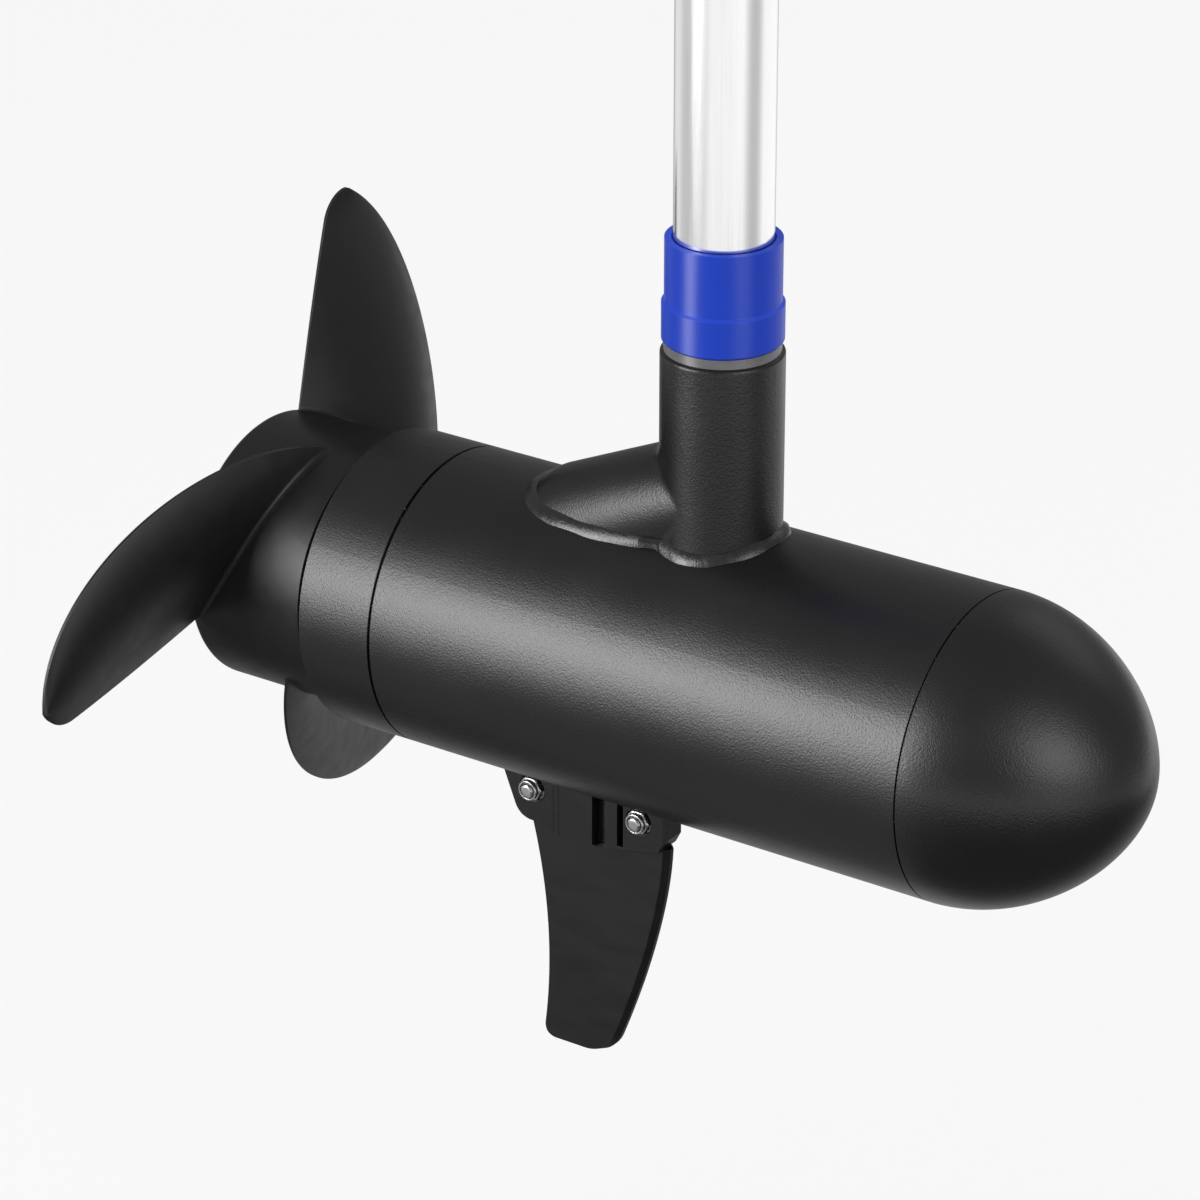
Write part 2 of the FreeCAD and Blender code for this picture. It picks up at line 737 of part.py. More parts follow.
def motor_shaft():
    front = "front_plate_front - shaft_front_gap"
    rear_shoulder = CIRCLIP_REAR
    front_shoulder = FRONT_BEARING
    seat_front = HUB_FRONT + " - propeller_seat_inset"
    thread_front = NUT_FLOOR + " + propeller_washer_thickness"
    tail = thread_front + " - shaft_thread_length"
    body = turned_body("motor_shaft", [
        (tail, "0"),
        (tail, "shaft_thread_radius - 1"),
        (tail + " + 1", "shaft_thread_radius"),
        (thread_front, "shaft_thread_radius"),
        (thread_front, "shaft_propeller_seat_radius"),
        (seat_front, "shaft_propeller_seat_radius"),
        (seat_front, "shaft_rear_journal_radius"),
        (rear_shoulder, "shaft_rear_journal_radius"),
        (rear_shoulder, "shaft_radius"),
        (front_shoulder, "shaft_radius"),
        (front_shoulder, "shaft_front_journal_radius"),
        (front, "shaft_front_journal_radius"),
        (front, "0"),
    ])
    sketch = add_sketch(body, "XY_Plane", circles=[("drive_pin_station", "0", "drive_pin_radius")])
    hole = body.newObject("PartDesign::Pocket", "drive_pin_hole")
    hole.Profile = sketch
    hole.Midplane = True
    hole.setExpression("Length", bound("4 * shaft_radius"))
    doc.recompute()
    slot = add_sketch(body, "XY_Plane", key_corners())
    slot.AttachmentOffset = FreeCAD.Placement(V(0, 0, size("shaft_radius - 0.5 * key_width")),
                                              FreeCAD.Rotation())
    slot.setExpression("AttachmentOffset.Base.z", bound("shaft_radius - 0.5 * key_width"))
    keyway = body.newObject("PartDesign::Pocket", "keyway")
    keyway.Profile = slot
    keyway.Reversed = True
    keyway.setExpression("Length", bound("key_width"))
    doc.recompute()


def key_corners():
    return [
        (STACK_MIDDLE + " - key_length / 2", "-key_width / 2"),
        (STACK_MIDDLE + " + key_length / 2", "-key_width / 2"),
        (STACK_MIDDLE + " + key_length / 2", "key_width / 2"),
        (STACK_MIDDLE + " - key_length / 2", "key_width / 2"),
    ]


def rotor_key():
    width = size("key_width")
    length = size("key_length")
    corner = V(size(STACK_MIDDLE) - length / 2, -width / 2, size("shaft_radius") - width / 2)
    solid_feature("rotor_key", Part.makeBox(length, width, width, corner))


def bearing(name, station, inner, outer_text, width_text, ball_text, balls):
    """Deep-groove ball bearing as outer race, inner race, balls and cage."""
    outer = size(outer_text)
    width = size(width_text)
    ball = size(ball_text)
    wall = size("race_wall")
    gap = size("ball_clearance")
    pitch = (inner + outer) / 2
    rear = station
    middle = rear + width / 2
    track = Part.makeTorus(pitch, ball + gap, V(middle, 0, 0), X_AXIS)
    outer_race = tube_along_motor(outer - wall, outer, rear, rear + width).cut(track)
    inner_race = tube_along_motor(inner, inner + wall, rear, rear + width).cut(track)
    copies = count(balls)
    sphere = Part.makeSphere(ball, V(middle, 0, pitch))
    pocket = Part.makeSphere(ball + gap, V(middle, 0, pitch))
    half = size("cage_thickness") / 2
    reach = ball + CAGE_RIM
    cage = tube_along_motor(pitch - half, pitch + half, middle - reach, middle + reach)
    cage = cage.cut(ringed(pocket, copies))
    solid_feature(name + "_outer_race", outer_race)
    solid_feature(name + "_inner_race", inner_race)
    solid_feature(name + "_balls", Part.makeCompound(ringed(sphere, copies)))
    solid_feature(name + "_cage", cage)


def bearings():
    bearing("front_bearing", size(FRONT_BEARING), size("shaft_front_journal_radius"),
            "front_bearing_outer_radius", "front_bearing_width", "front_ball_radius", "front_ball_count")
    bearing("rear_bearing", size(REAR_BEARING), size("shaft_rear_journal_radius"),
            "rear_bearing_outer_radius", "rear_bearing_width", "rear_ball_radius", "rear_ball_count")


def bearing_wave_washer():
    station = FRONT_BEARING + " - wave_washer_thickness"
    turned_body("bearing_wave_washer", ring_corners(station, FRONT_BEARING,
                "front_bearing_outer_radius - race_wall", "front_bearing_outer_radius - 0.3"))


def bearing_circlip():
    """Retaining ring with a gap and two eyes, sprung into the cap's groove."""
    rear = size(CIRCLIP_REAR)
    front = rear + size("circlip_thickness - 2 * running_clearance")
    outer = size("rear_bearing_outer_radius + circlip_groove_depth - 2 * running_clearance")
    inner = outer - size("circlip_width")
    gap = size("circlip_gap")
    eye_radius = size("circlip_eye_radius")
    ring = tube_along_motor(inner, outer, rear, front)
    opening = Part.makeBox(front - rear + 2 * OVERRUN, gap, 2 * gap, V(rear - OVERRUN, -gap / 2, inner - gap))
    ring = ring.cut(opening)
    for side in (-1, 1):
        y = side * (gap / 2 + 0.9 * eye_radius)
        eye = along_motor(eye_radius, rear, front, y, inner)
        hole = along_motor(size("circlip_eye_hole_radius"), rear - OVERRUN, front + OVERRUN, y, inner)
        ring = ring.fuse(eye).cut(hole)
    solid_feature("bearing_circlip", ring.removeSplitter())


def shaft_seals():
    """Two lip seals side by side behind the rear bearing."""
    width = size("seal_width")
    outer = size("seal_outer_radius")
    lip = size("shaft_rear_journal_radius + running_clearance")
    wall = size("seal_case_wall")
    seals = []
    for i in range(2):
        rear = size(CAP_REAR) + i * width
        case = tube_along_motor(lip, outer, rear, rear + width - size("seal_gap"))
        hollow = tube_along_motor(lip + size("seal_lip_width"), outer - wall, rear + wall, rear + 2 * width)
        seals.append(case.cut(hollow))
    solid_feature("shaft_seals", Part.makeCompound(seals))


# Stator and rotor

def stator_core():
    """Laminated ring with teeth: one slot is cut from the ring and repeated about the axis."""
    body = new_body("stator_core")
    turn(body, ring_corners(STACK_REAR, "stator_front", STATOR_BORE, f"{BORE} - {PRESS_PLAY}"))
    add_bolt_holes(body, STACK_REAR, "stack_length", "bolt_radius + bolt_clearance", True)
    total = count("slot_count")
    half_pitch = f"tan(180 deg / {total})"
    inside = STATOR_BORE + " - slot_lip"
    lip = STATOR_BORE + " + slot_lip"
    wide_low = f"({lip}) * {half_pitch} - tooth_width / 2"
    wide_high = f"{SLOT_FLOOR} * {half_pitch} - tooth_width / 2"
    corners = [
        ("slot_opening / 2", inside),
        ("slot_opening / 2", lip),
        (wide_low, lip),
        (wide_high, SLOT_FLOOR),
        (f"-({wide_high})", SLOT_FLOOR),
        (f"-({wide_low})", lip),
        ("-slot_opening / 2", lip),
        ("-slot_opening / 2", inside),
    ]
    sketch = add_sketch(body, "YZ_Plane", corners)
    sketch.AttachmentOffset = FreeCAD.Placement(V(0, 0, size(STACK_REAR)), FreeCAD.Rotation())
    sketch.setExpression("AttachmentOffset.Base.z", bound(STACK_REAR))
    slot = body.newObject("PartDesign::Pocket", "slot")
    slot.Profile = sketch
    slot.Reversed = True
    slot.setExpression("Length", bound("stack_length"))
    doc.recompute()
    pattern = body.newObject("PartDesign::PolarPattern", "slots")
    pattern.Originals = [slot]
    pattern.Axis = (sketch, ["N_Axis"])
    pattern.Angle = 360
    pattern.Occurrences = total
    body.Tip = pattern
    doc.recompute()


def frame_round_tooth(inner_half, inner_length, wall, low, high):
    """Rectangular frame round a tooth that points along +Z, centred on the stack."""
    middle = size(STACK_MIDDLE)
    outer = Part.makeBox(inner_length + 2 * wall, 2 * (inner_half + wall), high - low,
                         V(middle - inner_length / 2 - wall, -inner_half - wall, low))
    inner = Part.makeBox(inner_length, 2 * inner_half, high - low + 2 * OVERRUN,
                         V(middle - inner_length / 2, -inner_half, low - OVERRUN))
    edges = [edge for edge in outer.Edges if edge.BoundBox.ZLength > 0.99 * (high - low)]
    return outer.makeFillet(0.9 * wall, edges).cut(inner)


def stator_windings():
    """One bobbin and one coil on every tooth."""
    total = count("slot_count")
    gap = size("coil_gap")
    low = size(STATOR_BORE + " + slot_lip") + gap
    high = size(SLOT_FLOOR) - 2 * gap
    wall = size("bobbin_wall")
    bobbin_half = size("tooth_width") / 2 + PRESS_PLAY
    bobbin_length = size("stack_length") + 2 * PRESS_PLAY
    bobbin = frame_round_tooth(bobbin_half, bobbin_length, wall, low, high)
    coil = frame_round_tooth(bobbin_half + wall + PRESS_PLAY, bobbin_length + 2 * (wall + PRESS_PLAY),
                             size("coil_width"), low + gap, high - gap)
    start = 180.0 / total
    solid_feature("stator_bobbins", Part.makeCompound(ringed(bobbin, total, start)))
    solid_feature("stator_windings", Part.makeCompound(ringed(coil, total, start)))


def rotor():
    """Laminated core on the shaft, arc magnets on it and a thin sleeve over them."""
    rear = size(STACK_REAR)
    front = size("stator_front")
    core_radius = size(ROTOR_RADIUS)
    magnet_outer = size(MAGNET_OUTER)
    shaft = size("shaft_radius")
    width = size("key_width")
    core = tube_along_motor(shaft, core_radius, rear, front)
    hole = along_motor(size("rotor_hole_radius"), rear - OVERRUN, front + OVERRUN,
                       0, (shaft + core_radius) / 2)
    holes = count("rotor_hole_count")
    core = core.cut(ringed(hole, holes, 180.0 / holes))
    keyway = Part.makeBox(front - rear + 2 * OVERRUN, width, width,
                          V(rear - OVERRUN, -width / 2, shaft - width / 2))
    solid_feature("rotor_core", core.cut(keyway))
    total = count("magnet_count")
    end_gap = size("magnet_end_gap")
    magnet_inner = core_radius + PRESS_PLAY
    profile = Part.makePolygon([
        V(rear + end_gap, 0, magnet_inner),
        V(rear + end_gap, 0, magnet_outer),
        V(front - end_gap, 0, magnet_outer),
        V(front - end_gap, 0, magnet_inner),
        V(rear + end_gap, 0, magnet_inner),
    ])
    magnet = Part.Face(profile).revolve(V(0, 0, 0), X_AXIS, 360.0 / total * size("magnet_cover"))
    solid_feature("rotor_magnets", Part.makeCompound(ringed(magnet, total)))
    sleeve_inner = magnet_outer + PRESS_PLAY
    sleeve = tube_along_motor(sleeve_inner, magnet_outer + size("rotor_sleeve_wall"), rear, front)
    solid_feature("rotor_sleeve", sleeve)


def hall_sensors():
    """Ring board beside the coils, with sensors that face the magnets, on spacers from the front plate."""
    rear = size("stator_front + sensor_board_gap")
    front = rear + size("sensor_board_thickness")
    rim = size(SLOT_FLOOR + " + sensor_board_overhang")
    board = tube_along_motor(size(ROTOR_RADIUS + " - sensor_board_overhang"), rim, rear, front)
    leads = [along_motor(size("lead_radius + lead_play"), rear - OVERRUN, front + OVERRUN, y, z)
             for y, z in lead_spots()]
    solid_feature("hall_sensor_board", board.cut(leads))
    thickness = size("sensor_thickness")
    width = size("sensor_width")
    length = size("sensor_length")
    sensor = Part.makeBox(thickness, width, length,
                          V(rear - thickness, -width / 2, size(MAGNET_OUTER) - length))
    total = count("sensor_count")
    chips = []
    for i in range(total):
        chip = sensor.copy()
        chip.rotate(V(0, 0, 0), X_AXIS, 180 + size("sensor_spacing") * (i - (total - 1) / 2))
        chips.append(chip)
    solid_feature("hall_sensors", Part.makeCompound(chips))
    post = size("sensor_spacer_radius")
    spacer = along_motor(post, front, size(PLATE_REAR), 0, rim - post)
    solid_feature("sensor_board_spacers", Part.makeCompound(ringed(spacer, total)))


# Front plate, controller and wiring

def lead_spots():
    """Where the three phase leads run, low in the housing."""
    ring = size(LEAD_CIRCLE)
    spacing = math.radians(size("lead_spacing"))
    return [(ring * math.sin(i * spacing), -ring * math.cos(i * spacing)) for i in (-1, 0, 1)]


def front_bearing_plate():
    """Webbed plate across the housing that carries the front bearing."""
    front = "front_plate_front"
    web_rear = front + " - front_web_thickness"
    hub = "front_bearing_outer_radius + front_hub_wall"
    pocket = "front_bearing_outer_radius"
    lip = pocket + " - bearing_lip"
    rim_inner = BORE + " - front_rim_width"
    rim_outer = f"{BORE} - {PRESS_PLAY}"
    washer_rear = FRONT_BEARING + " - wave_washer_thickness"
    body = turned_body("front_bearing_plate", [
        (PLATE_REAR, lip),
        (PLATE_REAR, hub),
        (web_rear, hub),
        (web_rear, rim_inner),
        (PLATE_REAR, rim_inner),
        (PLATE_REAR, rim_outer),
        (front, rim_outer),
        (front, pocket),
        (washer_rear, pocket),
        (washer_rear, lip),
    ])
    add_bolt_holes(body, PLATE_REAR, "front_plate_thickness", "bolt_radius + bolt_clearance", True)
    circles = [(f"{y:.6f}", f"{z:.6f}", "lead_radius + lead_play") for y, z in lead_spots()]
    sketch = add_sketch(body, "YZ_Plane", circles=circles)
    holes = body.newObject("PartDesign::Pocket", "lead_holes")
    holes.Profile = sketch
    holes.setExpression("Length", bound("1.1 * (front_plate_thickness - front_plate_front)"))
    doc.recompute()


def controller():
    """Heat-spreading plate across the housing with the motor's circuit board on its rear."""
    rear = size("controller_plate_rear")
    front = rear + size("controller_plate_thickness")
    board_front = size(BOARD_FRONT)
    board_rear = size(BOARD_REAR)
    board_radius = size(BOARD_RADIUS)
    ring = size(BOLT_CIRCLE)
    hole = size("bolt_radius + bolt_clearance")
    holes = [along_motor(hole, rear - OVERRUN, front + OVERRUN, ring * c, ring * s)
             for c, s in bolt_spots()]
    solid_feature("controller_plate", along_motor(size(SPIGOT), rear, front).cut(holes))
    solid_feature("controller_board", along_motor(board_radius, board_rear, board_front))
    standoff = along_motor(size("standoff_radius"), board_front, rear,
                           0, board_radius - size("standoff_inset"))
    bolts = count("bolt_count")
    solid_feature("controller_standoffs", Part.makeCompound(ringed(standoff, bolts, 180.0 / bolts)))
    total = count("transistor_count")
    solid_feature("controller_transistors", Part.makeCompound(ringed(transistor(), total, 180.0 / total)))
    can = along_motor(size("capacitor_radius"), board_rear - size("capacitor_height"), board_rear,
                      0, size("capacitor_circle_radius"))
    solid_feature("controller_capacitors", Part.makeCompound(ringed(can, 3)[1:]))


def transistor():
    """Flat package against the plate, with three bent legs down to the board."""
    height = size("transistor_height")
    width = size("transistor_width")
    pitch = size("transistor_leg_pitch")
    plate = size("controller_plate_rear")
    board = size(BOARD_FRONT)
    inset = size("transistor_inset")
    chip = Part.makeBox(height, width, size("transistor_length"), V(plate - height, -width / 2, inset))
    leg = 0.4 * pitch
    legs = [Part.makeBox(plate - board - 0.8 * height, leg, leg, V(board, i * pitch - leg / 2, inset + leg))
            for i in (-1, 0, 1)]
    return chip.fuse(legs).removeSplitter()


def power_terminal():
    """Block on the board that takes the supply cable's end."""
    front = size(BOARD_REAR)
    width = size("terminal_width")
    length = size("terminal_length")
    height = size("supply_cable_height")
    block = Part.makeBox(length, width, width, V(front - length, -width / 2, height - width / 2))
    edges = [edge for edge in block.Edges if edge.BoundBox.XLength > 0.99 * length]
    socket = along_motor(size("supply_cable_radius + cable_play"), front - length - OVERRUN,
                         front - length / 2, 0, height)
    solid_feature("power_terminal", block.makeFillet(size("terminal_round"), edges).cut(socket))


def phase_leads():
    """Three insulated leads from the coils through the front plate to the controller board."""
    start = size("stator_front + bobbin_wall + coil_width") + 10 * PRESS_PLAY
    leads = [along_motor(size("lead_radius"), start, size(BOARD_REAR), y, z) for y, z in lead_spots()]
    solid_feature("phase_leads", Part.makeCompound(leads))


def supply_cable():
    """Battery cable down the tube and strut, round one bend and forward to the controller."""
    height = size("supply_cable_height")
    radius = size("supply_cable_radius")
    top = size(CONNECTOR_FOOT + " + connector_entry")
    end = size(BOARD_REAR + " - terminal_length / 2")
    bend = size(BORE + " - supply_cable_height") - radius
    turn_start = V(0, 0, height + bend)
    turn_end = V(bend, 0, height)
    turn_middle = V(bend * (1 - math.sqrt(0.5)), 0, height + bend * (1 - math.sqrt(0.5)))
    path = Part.Wire([
        Part.LineSegment(V(0, 0, top), turn_start).toShape(),
        Part.Arc(turn_start, turn_middle, turn_end).toShape(),
        Part.LineSegment(turn_end, V(end, 0, height)).toShape(),
    ])
    section = Part.Wire(Part.makeCircle(radius, V(0, 0, top), Z_AXIS))
    solid_feature("supply_cable", path.makePipeShell([section], True, True))


def cable_connector():
    """Round multi-pin connector on the cable's upper end, inside the tube."""
    foot = size(CONNECTOR_FOOT)
    top = foot + size("connector_length")
    outer = size("connector_radius")
    wall = size("connector_wall")
    tail_length = size("connector_tail_length")
    depth = size("connector_socket_depth")
    cable = size("supply_cable_radius + cable_play")
    entry = size("connector_entry")
    shell = Part.makeCylinder(outer, top - foot - tail_length, V(0, 0, foot + tail_length))
    tail = Part.makeCone(cable + wall, outer - wall, tail_length, V(0, 0, foot))
    socket = Part.makeCylinder(outer - wall, depth, V(0, 0, top - depth))
    bore = Part.makeCylinder(cable, entry + OVERRUN, V(0, 0, foot - OVERRUN))
    circle = size("connector_pin_circle")
    total = count("connector_pin_count")
    pins = []
    for i in range(total):
        angle = 2 * math.pi * i / total
        spot = V(circle * math.cos(angle), circle * math.sin(angle), top - depth - OVERRUN)
        pins.append(Part.makeCylinder(size("connector_pin_radius"), size("connector_pin_length"), spot))
    solid_feature("cable_connector", shell.fuse(tail).cut([socket, bore]).fuse(pins).removeSplitter())


def cable_grommet():
    """Rubber grommet in the housing's hole under the strut, with a lip inside the bore."""
    play = size("running_clearance")
    radius = size("cable_passage_radius") - play
    flange = size("grommet_flange")
    lip_top = math.sqrt(size(BORE) ** 2 - (radius + flange) ** 2) - size("grommet_gap")
    foot = lip_top - flange
    top = size("housing_radius + grommet_rise")
    sleeve = Part.makeCylinder(radius, top - foot, V(0, 0, foot))
    lip = Part.makeCylinder(radius + flange, flange, V(0, 0, foot))
    way = Part.makeCylinder(size("supply_cable_radius") + 3 * play, top - foot + 2 * OVERRUN,
                            V(0, 0, foot - OVERRUN))
    solid_feature("cable_grommet", sleeve.fuse(lip).removeSplitter().cut(way))


# Propeller

def blade_section(sine):
    """Closed section of a blade, wrapped on a cylinder. sine is 0 at the root and 1 at the tip."""
    share = max(sine, 0.0)
    hub = size("hub_radius")
    reach = size("blade_tip_radius") - hub
    radius = hub + reach * sine
    chord_share = math.sqrt(1 - share ** size("blade_outline_power"))
    chord = size("blade_root_chord") * chord_share
    inward = 1 - share
    tip_station = size("blade_tip_station")
    trailing = tip_station + (size("blade_trailing_station") - tip_station) * inward
    leading = tip_station + size("blade_rake") * inward ** size("blade_rake_power")
    leading = trailing + max(leading - trailing, 0.02 * chord)
    camber = size("blade_camber") * chord_share
    tip_thickness = size("blade_tip_thickness")
    edge = size("blade_edge_thickness") / 2
    full = (tip_thickness + (size("blade_root_thickness") - tip_thickness) * inward) / 2
    fillet = size("blade_root_fillet")
    above = min(max(radius - hub, 0.0) / (BLEND_REACH * fillet), 1.0)
    flare = fillet * (1 - above) ** 2
    corner = size("blade_corner_radius")
    past = max(radius - size("blade_tip_radius") + corner, 0.0)
    cut_back = (corner - math.sqrt(corner ** 2 - past ** 2)) / chord
    front_side = []
    rear_side = []
    for share_back in (0.0, 0.06, 0.2, 0.4, 0.6, 0.8, 1.0):
        s = share_back * (1 - cut_back)
        bulge = 4 * share_back * (1 - share_back)
        station = leading + (trailing - leading) * s + camber * bulge
        slope = (trailing - leading + camber * 4 * (1 - 2 * share_back)) / chord
        half = edge + (full - edge + flare) * bulge ** 0.6
        lean = math.hypot(1, slope)
        for sign, side in ((1, front_side), (-1, rear_side)):
            x = station + sign * half / lean
            arc = chord * (s - 1) - sign * half * slope / lean
            angle = math.radians(size("blade_tip_angle")) + arc / radius
            side.append(V(x, radius * math.cos(angle), radius * math.sin(angle)))
    upper = Part.BSplineCurve()
    upper.interpolate(front_side)
    lower = Part.BSplineCurve()
    lower.interpolate(rear_side[::-1])
    return Part.Wire([
        upper.toShape(),
        Part.LineSegment(front_side[-1], rear_side[-1]).toShape(),
        lower.toShape(),
        Part.LineSegment(rear_side[0], front_side[0]).toShape(),
    ])


def blade():
    """Loft from inside the hub's wall, through the root fillet, out to the rounded tip."""
    reach = size("blade_tip_radius") - size("hub_radius")
    blend = BLEND_REACH * size("blade_root_fillet") / reach
    shares = [-size("hub_wall") / 2 / reach, 0.0, 0.4 * blend, blend]
    shares += [math.sin(math.radians(a)) for a in (13, 24, 37, 50, 62, 72, 80, 85)]
    sections = [blade_section(share) for share in shares]
    sides = Part.makeLoft(sections, False, False)
    caps = [Part.makeFilledFace(sections[i].Edges) for i in (0, -1)]
    shell = Part.makeShell(sides.Faces + caps)
    shell.sewShape()
    return Part.makeSolid(shell)


def hub_flare(rear, front, low, high):
    """Arc that leaves the hub's side smoothly at rear and rises to high at front."""
    run = front - rear
    rise = high - low
    radius = (run ** 2 + rise ** 2) / (2 * rise)
    half = math.asin(run / radius) / 2
    middle = V(rear + radius * math.sin(half), 0, low + radius * (1 - math.cos(half)))
    return Part.Arc(V(front, 0, high), middle, V(rear, 0, low))


def propeller_hub():
    """Hollow moulded hub: flared skirt, rounded rear with a nut pocket, boss and ribs."""
    front = size(HUB_FRONT)
    rear = -size("hub_rear")
    radius = size("hub_radius")
    lip = size("housing_radius")
    wall = size("hub_wall")
    boss = size("hub_boss_radius")
    pocket = size("hub_nut_pocket_radius")
    floor = size(NUT_FLOOR)
    bore = size("shaft_propeller_seat_radius + running_clearance")
    edge = size("hub_rear_round")
    skirt = front - size("hub_lip_length")
    flare_end = skirt - size("hub_flare_length")
    boss_front = size("drive_pin_station + drive_pin_radius + hub_boss_overhang")
    inset = edge * (1 - math.sqrt(0.5))
    corners = [
        (rear, pocket), (floor, pocket), (floor, bore), (boss_front, bore), (boss_front, boss),
        (floor + wall, boss), (floor + wall, pocket + wall), (rear + wall, pocket + wall),
        (rear + wall, radius - wall), (flare_end, radius - wall), (front, lip - wall), (front, lip),
        (skirt, lip),
    ]
    points = [V(x, 0, z) for x, z in corners]
    outline = [Part.LineSegment(a, b) for a, b in zip(points, points[1:])]
    outline += [
        hub_flare(flare_end, skirt, radius, lip),
        Part.LineSegment(V(flare_end, 0, radius), V(rear + edge, 0, radius)),
        Part.Arc(V(rear + edge, 0, radius), V(rear + inset, 0, radius - inset), V(rear, 0, radius - edge)),
        Part.LineSegment(V(rear, 0, radius - edge), points[0]),
    ]
    face = Part.Face(Part.Wire([piece.toShape() for piece in outline]))
    hub = face.revolve(V(0, 0, 0), X_AXIS, 360)
    thickness = size("hub_rib_thickness")
    inside = wall / 2
    rib = Part.makeBox(boss_front - rear - 2 * wall, thickness, radius - wall - boss + 2 * inside,
                       V(rear + wall - inside, -thickness / 2, boss - inside))
    return hub.fuse(ringed(rib, count("hub_rib_count"))).removeSplitter()


def propeller():
    """One moulding: the hub with its blades, and a slot across the boss for the drive pin."""
    shape = propeller_hub().fuse(ringed(blade(), count("blade_count")))
    station = size("drive_pin_station")
    pin = size("drive_pin_radius + running_clearance")
    reach = size("shaft_propeller_seat_radius + drive_pin_overhang + drive_pin_play")
    boss_front = size("drive_pin_station + drive_pin_radius + hub_boss_overhang")
    slot = Part.makeBox(boss_front - station + OVERRUN, 2 * pin, 2 * reach, V(station, -pin, -reach))
    round_end = Part.makeCylinder(pin, 2 * reach, V(station, 0, -reach))
    solid_feature("propeller", shape.cut([slot, round_end]))


def lock_nut(flats, height, bore, base, direction):
    """Hexagon nut with the round collar of its locking insert at the far end."""
    collar_height = size("nut_collar_height")
    nut = hex_prism(flats, height - collar_height, base, direction)
    collar = Part.makeCylinder(flats / 2 - size("nut_collar_inset"), height, base, direction)
    hole = Part.makeCylinder(bore, height + 2 * OVERRUN, base - direction * OVERRUN, direction)
    return nut.fuse(collar).removeSplitter().cut(hole)


def propeller_fasteners():
    reach = size("shaft_propeller_seat_radius + drive_pin_overhang")
    pin = Part.makeCylinder(size("drive_pin_radius") - PRESS_PLAY / 2, 2 * reach,
                            V(size("drive_pin_station"), 0, -reach))
    solid_feature("propeller_drive_pin", pin)
    floor = size(NUT_FLOOR)
    thickness = size("propeller_washer_thickness")
    thread = size("shaft_thread_radius")
    washer = tube_along_motor(thread + size("running_clearance"), size("propeller_washer_radius"),
                              floor - thickness, floor)
    solid_feature("propeller_washer", washer)
    nut = lock_nut(size("propeller_nut_flats"), size("propeller_nut_height"), thread,
                   V(floor - thickness, 0, 0), V(-1, 0, 0))
    solid_feature("propeller_nut", nut)


# Skeg

def pad_across(body, corners, thickness):
    """Plate in the motor's upright middle plane, padded equally to both sides."""
    sketch = add_sketch(body, "XZ_Plane", corners)
    pad = body.newObject("PartDesign::Pad", body.Label + "_plate")
    pad.Profile = sketch
    pad.Midplane = True
    pad.setExpression("Length", bound(thickness))
    doc.recompute()
    return pad


def pocket_across(body, thickness, *outlines, circles=()):
    """Cut equally to both sides of the middle plane."""
    sketch = add_sketch(body, "XZ_Plane", *outlines, circles=circles)
    cut = body.newObject("PartDesign::Pocket", body.Label + "_middle_cut")
    cut.Profile = sketch
    cut.Midplane = True
    cut.setExpression("Length", bound(thickness))
    doc.recompute()


def shift_sketch(sketch, offset):
    """Move a sketch off its origin plane, along the plane's own normal."""
    sketch.AttachmentOffset = FreeCAD.Placement(V(0, 0, size(offset)), FreeCAD.Rotation())
    sketch.setExpression("AttachmentOffset.Base.z", bound(offset))
    doc.recompute()


def pocket_both_sides(body, depth, *outlines, circles=()):
    """The same pocket in each of the head's two side faces."""
    for sign, reversed_cut in (("", False), ("-", True)):
        sketch = add_sketch(body, "XZ_Plane", *outlines, circles=circles)
        shift_sketch(sketch, f"{sign}skeg_head_thickness / 2")
        cut = body.newObject("PartDesign::Pocket", body.Label + "_side_cut")
        cut.Profile = sketch
        cut.Reversed = reversed_cut
        cut.setExpression("Length", bound(depth))
        doc.recompute()


def bolt_circles(radius):
    return [("-" + name, SKEG_BOLT_HEIGHT, radius) for name in ("skeg_bolt_rear", "skeg_bolt_front")]


def bracket_corners(play, top):
    """Outline of the tab, or of the hollow that takes it with some play."""
    return [
        (f"-bracket_rear - {play}", top),
        (f"-bracket_rear + bracket_lean - {play}", f"{BRACKET_FOOT} - {play}"),
        (f"-bracket_front + {play}", f"{BRACKET_FOOT} - {play}"),
        (f"-bracket_front + {play}", top),
    ]


def skeg_bracket():
    """Flat tab whose upper edge follows the housing's underside."""
    body = new_body("skeg_bracket")
    pad_across(body, bracket_corners("0", SKEG_ABOVE), "bracket_thickness")
    cut_turned(body, ring_corners("-housing_rear", "housing_front", "1", "housing_radius"))
    pocket_across(body, "2 * bracket_thickness",
                  circles=bolt_circles("skeg_bolt_radius + skeg_bolt_clearance"))


def rounded(before, corner, after):
    """Inner points of the curve that rounds a corner between two points on its sides."""
    points = []
    for s in (0.25, 0.5, 0.75):
        weights = ((1 - s) ** 2, 2 * s * (1 - s), s ** 2)
        points.append(tuple(sum(w * p[axis] for w, p in zip(weights, (before, corner, after)))
                            for axis in (0, 1)))
    return points


def exact(point):
    """A computed point in the text form that corners are given in."""
    return (f"{point[0]:.6f}", f"{point[1]:.6f}")


def fin_rear(height):
    """Station of the fin's hollow rear edge."""
    from_waist = height + size("housing_radius + skeg_waist_drop")
    return -size("skeg_waist_rear") - from_waist ** 2 / (2 * size("skeg_rear_curve"))


def fin_front(height):
    """Station of the fin's swept leading edge."""
    share = (size(FIN_TOP) - height) / (size(FIN_TOP) - size(FIN_FOOT))
    return -size("skeg_front") - size("skeg_sweep") * share ** size("skeg_sweep_power")


